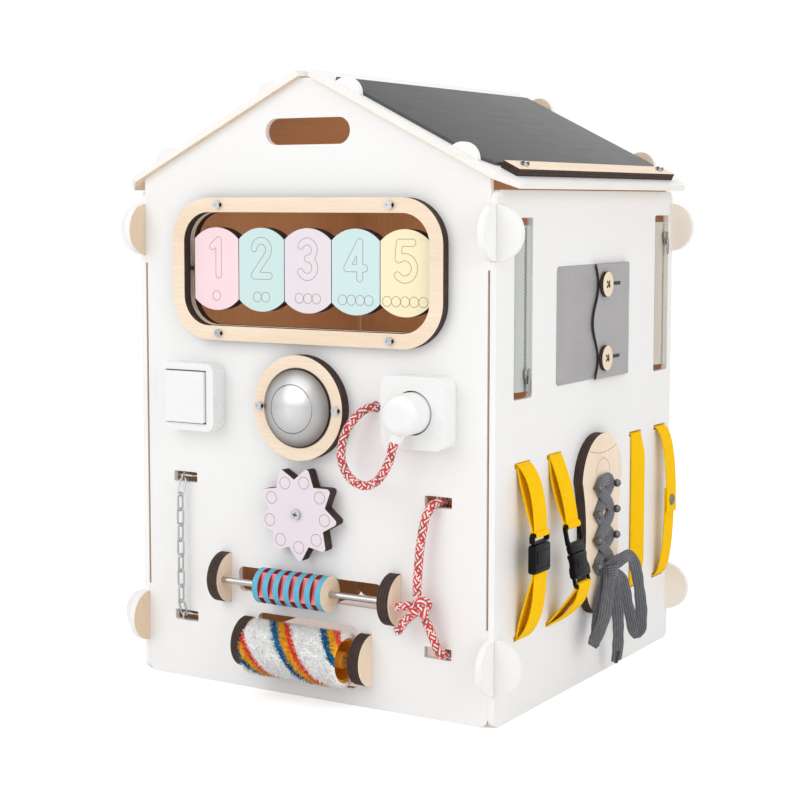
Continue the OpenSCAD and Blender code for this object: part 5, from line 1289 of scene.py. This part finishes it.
def rounded_columns(left, right_end, low, high, r, n, m):
    """Rows of flat points that fill a rectangle with two round corners on its left."""
    cols = []
    for i in range(n + 1):
        s = i / n
        u = left + (right_end - left) * (s ** 1.4)
        cut = r - math.sqrt(max(0.0, r * r - max(0.0, r - (u - left)) ** 2)) if u < left + r else 0.0
        cols.append([(u, low + cut + (high - low - 2 * cut) * j / m) for j in range(m + 1)])
    return cols


panel_left = POUCH_Y - POUCH_W / 2 - POUCH_LAP
panel_low, panel_high = POUCH_Z - POUCH_H / 2 - POUCH_LAP, POUCH_Z + POUCH_H / 2 + POUCH_LAP
panel_cols = rounded_columns(panel_left, panel_left + PANEL_W, panel_low, panel_high, 6.0, 60, 60)
panel = cloth_sheet("pouch_panel_cloth", panel_cols, panel_height, 0.9, HOUSE, ["pouch_panel"], LEATHER)
FLAP_HALF = POUCH_H / 2 + POUCH_LAP
FLAP_WAVE = 7.0


def flap_edge(v):
    """The wavy free edge of the flap at a height."""
    return FLAP_HINGE - FLAP_W + FLAP_WAVE * (0.5 - math.cos(math.pi * (v - POUCH_Z) / BUTTON_RISE))


def flap_height(u, v):
    d_free, d_hinge = u - flap_edge(v), FLAP_HINGE - u
    d_low, d_top = v - (POUCH_Z - FLAP_HALF), POUCH_Z + FLAP_HALF - v
    roll = edge_fall(d_low, 1.5) * edge_fall(d_top, 1.5)
    lift = 0.7 * math.exp(-d_free / 12.0) * (0.5 + 0.5 * math.sin(v / 11.0))
    turn = -2.6 * (1 - edge_fall(d_hinge, 5.0))
    crease = 0.18 * noise.noise(Vector((u * 0.06, v * 0.04, 7.0)))
    return FLAP_OUT + CLOTH_T - 0.4 + 0.4 * roll + lift + turn + crease


flap_cols = []
FLAP_STEPS = 50
for i in range(FLAP_STEPS + 1):
    col = []
    for j in range(81):
        v = POUCH_Z - FLAP_HALF + 2 * FLAP_HALF * j / 80
        start = flap_edge(v)
        col.append((start + (FLAP_HINGE - start) * i / FLAP_STEPS, v))
    flap_cols.append(col)
flap = cloth_sheet("pouch_flap_cloth", flap_cols, flap_height, CLOTH_T, "pouch_flap", ["pouch_flap"],
                   LEATHER, CUT_EDGE_AND_SHADE)


# Button slits: dark ribbons on the flap, painted shade of the cuts
SLIT_START, SLIT_END, SLIT_W = -9.0, 38.0, 3.6
soup = Soup()
for s in (-1, 1):
    z = POUCH_Z + s * BUTTON_RISE
    steps = 24
    ys = [BUTTON_Y + SLIT_START + (SLIT_END - SLIT_START) * k / steps for k in range(steps + 1)]
    sweep(soup, [right(y, z, flap_height(y, z) + 0.1) for y in ys], flat_profile(SLIT_W, 0.8, 3),
          out=Vector((1, 0, 0)))
soup.build("pouch_flap_slit_shade", CUT_EDGE_AND_SHADE, body="pouch_flap")
BUTTON_WOOD = burnt_plate("Button_plywood", 0, 2, (0.90, 0.75, 0.58), (0.84, 0.66, 0.47))
soup, threads = Soup(), Soup()
THREAD = weave_material("Button_thread", (0.09, 0.075, 0.065), (0.04, 0.03, 0.03), 0.0004, 0.0006)
for s in (-1, 1):
    y, z, off = BUTTON_Y, POUCH_Z + s * BUTTON_RISE, FLAP_OUT + CLOTH_T + 0.5
    rim = arc(0, 0, BUTTON_D / 2, 0, 352.5, 47)
    holes = [arc(hx, hz, 1.15, 0, 324, 9) for hx in (-2.6, 2.6) for hz in (-2.6, 2.6)]

    def on_button(a, b, c):
        return right(y + a, z + b, off + BUTTON_T / 2 + c)
    part = plate("p", [rim] + holes, BUTTON_T, 0.35, on_button, None, soup_only=True)
    soup.add(part.verts, part.faces)
    face = off + BUTTON_T
    for a in (-1, 1):
        line = [right(y - 2.6, z - 2.6 * a, face - 2.5), right(y - 2.4, z - 2.4 * a, face + 0.2),
                right(y, z, face + (0.55 if a > 0 else 1.2)),
                right(y + 2.4, z + 2.4 * a, face + 0.2), right(y + 2.6, z + 2.6 * a, face - 2.5)]
        sweep(threads, spline(line, 0.5), round_profile(1.1, 8))
    sweep(threads, [right(y, z, FLAP_OUT + 0.2), right(y, z, off + 0.2)], round_profile(3.4, 12))
buttons = soup.build("pouch_buttons_wood", BUTTON_WOOD, stands_for=["pouch_buttons"], smooth=False)
weld(buttons)
threads.build("pouch_button_threads", THREAD)

# Pile sleeve
SLEEVE_X, SLEEVE_Z = -2.0, 46.5
SLEEVE_R, SLEEVE_L = 25.5, 108.0
STRIPE_GAP, STRIPE_AT, STRIPE_STARTS = 57.0, -35.0, 2
STRIPE_ENDS = (0.135, 0.28, 0.40)
TUFT_CORNERS = [2 * math.pi * k / 3 for k in range(3)]
PILE_COLOURS = {"Blue": (0.02, 0.17, 0.36), "Yellow": (0.96, 0.52, 0.04), "Red": (0.86, 0.10, 0.06),
                "White": (1.0, 0.998, 0.99)}


def pile_material(name, colour):
    """Tufts of pile in one colour, a little uneven in tone."""
    m = Mat(name, colour, 0.95, Specular_IOR_Level=0.1)
    fuzz = m.noise(420.0, detail=4.0)
    m.colour(m.mix(m.span(fuzz, 0.3, 0.75, 0.3, 0.0), colour, tuple(c * 0.96 for c in colour)))
    m.normal(m.bump(fuzz, 0.4, 0.0006))
    return m.mat


def pile_colour(x, turn):
    """Which colour of pile stands at a place along the sleeve and a part of a turn from its top."""
    t = ((x - STRIPE_AT) / STRIPE_GAP - STRIPE_STARTS * turn) % 1.0
    return next((k for k, end in enumerate(STRIPE_ENDS) if t < end), len(STRIPE_ENDS))


def pile_sleeve():
    soup = Soup()
    slots = []
    n, rows = 150, 110
    verts, faces = [], []
    for j in range(rows + 1):
        s = j / rows
        x = SLEEVE_X + SLEEVE_L * (s - 0.5)
        end = min(s, 1 - s) * SLEEVE_L
        fall = edge_fall(end, 4.0)
        for k in range(n):
            a = 2 * math.pi * k / n
            p = Vector((x * 0.42, 11 * math.cos(a), 11 * math.sin(a)))
            tuft = noise.noise(p) * 0.9 + noise.noise(p * 2.3) * 0.6
            r = SLEEVE_R - 1.7 - 2.6 * (1 - fall) + tuft * fall
            verts.append(Vector((x, AXLE_Y - r * math.sin(a), SLEEVE_Z + r * math.cos(a))))
    for j in range(rows):
        for k in range(n):
            a, b = j * n + k, j * n + (k + 1) % n
            faces.append((a, a + n, b + n, b))
            slots.append(pile_colour(verts[a].x, k / n))
    for j, way in ((0, 1), (rows, -1)):
        x = SLEEVE_X + SLEEVE_L * (j / rows - 0.5)
        base = len(verts)
        for k in range(n):
            a = 2 * math.pi * k / n
            verts.append(Vector((x + way * 0.4, AXLE_Y - 21.1 * math.sin(a), SLEEVE_Z + 21.1 * math.cos(a))))
        for k in range(n):
            a, b = j * n + k, j * n + (k + 1) % n
            c, d = base + (k + 1) % n, base + k
            faces.append((a, b, c, d) if way > 0 else (b, a, d, c))
            slots.append(pile_colour(x, k / n))
    first, last = rows * n + n, rows * n + 2 * n
    for k in range(n):
        faces.append((first + (k + 1) % n, last + (k + 1) % n, last + k, first + k))
        slots.append(len(STRIPE_ENDS))
    soup.add(verts, faces)
    rng = random.Random(7)
    for _ in range(16000):
        x = SLEEVE_X + SLEEVE_L * (rng.random() - 0.5) * 0.985
        turn = rng.random()
        a = 2 * math.pi * turn
        out = Vector((0, -math.sin(a), math.cos(a)))
        around = Vector((0, -math.cos(a), -math.sin(a)))
        root = Vector((x, AXLE_Y, SLEEVE_Z)) + out * (SLEEVE_R - 2.9)
        lean = around * rng.uniform(-1.9, 1.9) + Vector((rng.uniform(-1.9, 1.9), 0, 0))
        tip = root + out * rng.uniform(2.4, 5.2) + lean
        w = rng.uniform(0.3, 0.5)
        mid = root.lerp(tip, 0.55) - lean * 0.12
        ring = [Vector((w * math.cos(b), 0, 0)) + around * w * math.sin(b) for b in TUFT_CORNERS]
        cone = [(0, 1, 4, 3), (1, 2, 5, 4), (2, 0, 3, 5), (3, 4, 6), (4, 5, 6), (5, 3, 6), (2, 1, 0)]
        soup.add([root + p for p in ring] + [mid + p * 0.8 for p in ring] + [tip], cone)
        slots += [pile_colour(x + rng.gauss(0, 1.3), turn)] * len(cone)
    obj = soup.build("paint_roller_pile", None, body="paint_roller", stands_for=["paint_roller_sleeve"])
    for name, colour in PILE_COLOURS.items():
        obj.data.materials.append(pile_material("Pile_" + name.lower(), colour))
    obj.data.polygons.foreach_set("material_index", slots)
    return obj


pile_sleeve()

# Engraved lines: thin burnt lines that stand a hair proud of the face
LINE = plastic_material("Engraved_line", (0.36, 0.28, 0.25), 0.7)
LINE_W, LINE_UP = 0.55, 0.10


def engraved(soup, points, place, closed=True):
    """A flat raised line along points in a face's plane; place gives a point of the face at a height."""
    n = len(points)
    verts = []
    for i, p in enumerate(points):
        a = points[(i - 1) % n] if closed or i else p
        b = points[(i + 1) % n] if closed or i < n - 1 else p
        way = Vector((b[0] - a[0], b[1] - a[1])).normalized()
        side = Vector((-way[1], way[0])) * LINE_W / 2
        for k, up in ((1, 0.0), (1, LINE_UP), (-1, LINE_UP), (-1, 0.0)):
            verts.append(place(p[0] + k * side[0], p[1] + k * side[1], up))
    faces = []
    for i in range(n if closed else n - 1):
        a, b = i * 4, ((i + 1) % n) * 4
        for k in range(3):
            faces.append((a + k, a + k + 1, b + k + 1, b + k))
    soup.add(verts, faces)


DIGIT_STROKE = 3.3


def digit_lines(number):
    """The middle line of a digit's stroke, about 34 high and centred."""
    return {1: [(-5.0, 10.5), (2.5, 16.7), (2.5, -16.7)],
            2: arc(0, 8.2, 8.5, 172, -32, 14) + [(-8.8, -16.7), (9.2, -16.7)],
            3: arc(-0.5, 8.6, 8.1, 152, -88, 14) + arc(-0.5, -8.1, 8.6, 88, -152, 14),
            4: [(4.6, -16.7), (4.6, 16.7), (-9.6, -7.4), (9.8, -7.4)],
            5: [(8.0, 16.7), (-6.0, 16.7), (-7.4, 2.2)] + arc(-0.3, -6.5, 10.2, 128, -140, 16)}[number]


def from_line(p, line):
    """Distance from a point to a broken line."""
    best = 1e9
    for a, b in zip(line, line[1:]):
        dx, dy = b[0] - a[0], b[1] - a[1]
        k = min(1.0, max(0.0, ((p[0] - a[0]) * dx + (p[1] - a[1]) * dy) / (dx * dx + dy * dy)))
        best = min(best, math.hypot(p[0] - a[0] - k * dx, p[1] - a[1] - k * dy))
    return best


def stroke_outlines(line, r, step=0.75):
    """The closed outlines that run at a distance r round a broken line, walked cell by cell over a grid."""
    low = [min(p[i] for p in line) - r - 2 * step for i in (0, 1)]
    count = [int((max(p[i] for p in line) + r + 2 * step - low[i]) / step) + 1 for i in (0, 1)]
    value = [[from_line((low[0] + i * step, low[1] + j * step), line) - r for j in range(count[1] + 1)]
             for i in range(count[0] + 1)]
    place, joined = {}, {}
    for i in range(count[0]):
        for j in range(count[1]):
            corners = [(i, j), (i + 1, j), (i + 1, j + 1), (i, j + 1)]
            cut = []
            for a, b in zip(corners, corners[1:] + corners[:1]):
                va, vb = value[a[0]][a[1]], value[b[0]][b[1]]
                if (va < 0) != (vb < 0):
                    key = (min(a, b), max(a, b))
                    k = va / (va - vb)
                    place[key] = tuple(low[n] + step * (a[n] + k * (b[n] - a[n])) for n in (0, 1))
                    cut.append(key)
            for a, b in zip(cut[::2], cut[1::2]):
                joined.setdefault(a, []).append(b)
                joined.setdefault(b, []).append(a)
    loops, seen = [], set()
    for start in joined:
        loop, here = [], start
        while here not in seen:
            seen.add(here)
            loop.append(place[here])
            here = next((k for k in joined[here] if k not in seen), here)
        if len(loop) > 2:
            loops.append(loop)
    return loops


WINDOW_Z, TILE_MID, TILE_PITCH, TILE_FRONT = 410.0, 2.2, 53.12, 6.0
for number in range(1, 6):
    x = TILE_MID + (number - 3) * TILE_PITCH
    soup = Soup()

    def on_tile(a, b, up):
        return Vector((x + a, -TILE_FRONT - up, WINDOW_Z + b))
    for loop in stroke_outlines(digit_lines(number), DIGIT_STROKE):
        engraved(soup, [(a, b + 11.0) for a, b in loop], on_tile)
    for k in range(number):
        engraved(soup, arc((k - (number - 1) / 2) * 9.6, -26.0, 4.7, 0, 348.75, 31), on_tile)
    obj = soup.build("number_tile_%d_lines" % number, LINE, body="number_tile_%d" % number, smooth=False)
    recalc(obj)

STAR_X, STAR_Z, STAR_FACE, STAR_TURN = -4.0, 180.0, 14.3, 4.5
soup = Soup()
for k in range(9):
    a = math.radians(STAR_TURN - 90 + 40 * k)
    engraved(soup, arc(31.7 * math.cos(a), 31.7 * math.sin(a), 5.75, 0, 348.75, 31),
             lambda p, q, up: front(STAR_X + p, STAR_Z + q, STAR_FACE + up))
recalc(soup.build("star_wheel_lines", LINE, body="star_wheel", smooth=False))

SHOE_FACE = 10.1
TOE_Z, TOE_BEND = 228.0, 0.0045
soup = Soup()
for line in ([(u, TOE_Z + TOE_BEND * u * u) for u in range(-32, 33, 2)], arc(0, 205.0, 17.0, 10, 170, 24)):
    engraved(soup, line, lambda p, q, up: right(SHOE_MID + p, q, SHOE_FACE + up), closed=False)
recalc(soup.build("shoe_board_lines", LINE, smooth=False))
dress("lace_hooks", steel_material("Hook_metal", (0.16, 0.15, 0.14), 0.3, (200, 200, 200)), 0.6, 3)

# Screws: a cross recess on every head, drawn as painted shade
SCREW = steel_material("Screw_zinc", (0.60, 0.61, 0.63), 0.22, (200, 200, 200))
dress("wood_screws", SCREW, 0.25)


def loose_parts(mesh):
    """The separate solids of a mesh, as lists of points."""
    group = list(range(len(mesh.vertices)))

    def root(i):
        while group[i] != i:
            group[i] = group[group[i]]
            i = group[i]
        return i
    for e in mesh.edges:
        group[root(e.vertices[0])] = root(e.vertices[1])
    parts = {}
    for v in mesh.vertices:
        parts.setdefault(root(v.index), []).append(v.co.copy())
    return list(parts.values())


RECESS_UP, RECESS_DEEP = 0.03, 0.2
ARM_REACH, ARM_HALF, ARM_TAPER = 0.52, 0.10, 0.75
TICK_START, TICK_END, TICK_HALF = 0.2, 0.42, 0.08


def recess_shade_bar(soup, head, axis, way, reach, halves):
    """One dark bar of painted shade for a recess, between two distances along way, a hair proud of the head.
    """
    wide = axis.cross(way)
    corners = [(reach[0], -halves[0]), (reach[1], -halves[1]), (reach[1], halves[1]), (reach[0], halves[0])]
    top = [head + way * d + wide * w + axis * RECESS_UP for d, w in corners]
    low = [p - axis * RECESS_DEEP for p in top]
    rim = [(k, k + 4, (k + 1) % 4 + 4, (k + 1) % 4) for k in range(4)]
    soup.add(top + low, [(0, 1, 2, 3), (4, 7, 6, 5)] + rim)


def cross_recess_shade(soup, head, axis, size):
    """A cross recess in painted shade: four dark arms with fine ticks between them, on a head of a given
    radius.
    """
    side = axis.cross(Vector((0.3, 0.5, 0.8))).normalized()
    other = axis.cross(side)
    for k in range(4):
        turns = (math.pi / 2 * k, math.pi / 2 * (k + 0.5))
        arm, tick = [side * math.cos(a) + other * math.sin(a) for a in turns]
        recess_shade_bar(soup, head, axis, arm, (0.0, size * ARM_REACH),
                   (size * ARM_HALF, size * ARM_HALF * ARM_TAPER))
        recess_shade_bar(soup, head, axis, tick, (size * TICK_START, size * TICK_END), (TICK_HALF, TICK_HALF))


BOLT_HEAD_R = 5.0
soup = Soup()
AXES = [Vector((0, -1, 0)), Vector((1, 0, 0)), Vector(ROOF_OUT)]
for part in loose_parts(NODES["wood_screws"].data):
    def spread(axis):
        return max(p.dot(axis) for p in part) - min(p.dot(axis) for p in part)
    axis = max(AXES, key=spread)
    top = max(p.dot(axis) for p in part)
    middle = Vector([(min(p[i] for p in part) + max(p[i] for p in part)) / 2 for i in range(3)])
    radius = max((p - middle - axis * (p - middle).dot(axis)).length for p in part)
    head = middle + axis * (top - middle.dot(axis))
    cross_recess_shade(soup, head / MM, axis, radius / MM)
bolt_front = min(v.co.y for v in NODES["star_bolt"].data.vertices) / MM
cross_recess_shade(soup, Vector((STAR_X, bolt_front, STAR_Z)), AXES[0], BOLT_HEAD_R)
# Painted shade: the dark of the cross recesses on the screw and bolt heads
RECESS_SHADE = plastic_material("Screw_recess_shade", (0.02, 0.02, 0.022), 0.6, gloss=0.2)
soup.build("wood_screw_cross_shade", RECESS_SHADE, smooth=False)

# World, floor and lamps
WHITE_LIGHT = (1, 1, 1, 1)
STUDIO_LEVEL, FLOOR_GLOW = 0.62, 0.40
FLOOR_HALF = 12


def wire(tree, kind, inputs=(), **props):
    """Adds a node to a tree, with (socket, output or constant) pairs, and gives its outputs."""
    n = tree.nodes.new("ShaderNode" + kind)
    for key, value in props.items():
        setattr(n, key, value)
    for key, value in inputs:
        if isinstance(value, bpy.types.NodeSocket):
            tree.links.new(value, n.inputs[key])
        else:
            n.inputs[key].default_value = value
    return n.outputs


scene = bpy.context.scene
scene.view_settings.view_transform = "Standard"
world = bpy.data.worlds.new("Studio")
scene.world = world
world.use_nodes = True
wt = world.node_tree
studio = wt.nodes["Background"]
studio.inputs["Color"].default_value = WHITE_LIGHT
studio.inputs["Strength"].default_value = STUDIO_LEVEL
backdrop = wire(wt, "Background", [("Color", WHITE_LIGHT), ("Strength", 1.0)])
rays = wire(wt, "LightPath")
clear = wire(wt, "Math", [(0, rays["Is Glossy Ray"]), (1, rays["Is Transmission Ray"])], operation="MAXIMUM")
seen = wire(wt, "Math", [(0, rays["Is Camera Ray"]), (1, clear[0])], operation="MAXIMUM")
choose = wire(wt, "MixShader", [(0, seen[0]), (1, studio.outputs[0]), (2, backdrop[0])])
wt.links.new(choose[0], wt.nodes["World Output"].inputs["Surface"])


def lamp(name, light, place, power):
    """Puts a lamp at a place in metres."""
    light.energy = power
    obj = bpy.data.objects.new(name, light)
    obj.location = place
    bpy.context.collection.objects.link(obj)
    return obj


def soft_box(name, place, aim, size, power):
    light = bpy.data.lights.new(name, "AREA")
    light.shape = "SQUARE"
    light.size = size
    towards = Vector(aim) - Vector(place)
    lamp(name, light, place, power).rotation_euler = towards.to_track_quat("-Z", "Y").to_euler()


soft_box("Key", (-0.9, -2.2, 1.7), (0.0, 0.1, 0.3), 2.4, 28)
soft_box("Fill", (2.4, -0.6, 1.2), (0.1, 0.2, 0.3), 1.8, 18)
inside = bpy.data.lights.new("Inside", "POINT")
inside.shadow_soft_size = 0.08
inside.color = (1.0, 0.58, 0.36)
lamp("Inside", inside, (0.0, 0.2, 0.40), 0.27)
soft_box("Top", (0.3, 0.4, 2.6), (0.1, 0.2, 0.4), 1.8, 12)

floor_mesh = bpy.data.meshes.new("Floor")
floor_corners = [(x * FLOOR_HALF, y * FLOOR_HALF, 0) for x, y in ((-1, -1), (1, -1), (1, 1), (-1, 1))]
floor_mesh.from_pydata(floor_corners, [], [(0, 1, 2, 3)])
floor = bpy.data.objects.new("Floor", floor_mesh)
bpy.context.collection.objects.link(floor)
floor_paint = Mat("Floor_white", (0.94, 0.94, 0.94), 0.9)
ft = floor_paint.tree
shown = wire(ft, "Math", [(0, wire(ft, "LightPath")["Is Camera Ray"]), (1, FLOOR_GLOW)], operation="MULTIPLY")
glow = wire(ft, "Emission", [("Color", WHITE_LIGHT), ("Strength", shown[0])])
both = wire(ft, "AddShader", [(0, floor_paint.bsdf.outputs[0]), (1, glow[0])])
ft.links.new(both[0], ft.nodes["Material Output"].inputs["Surface"])
floor_mesh.materials.append(floor_paint.mat)
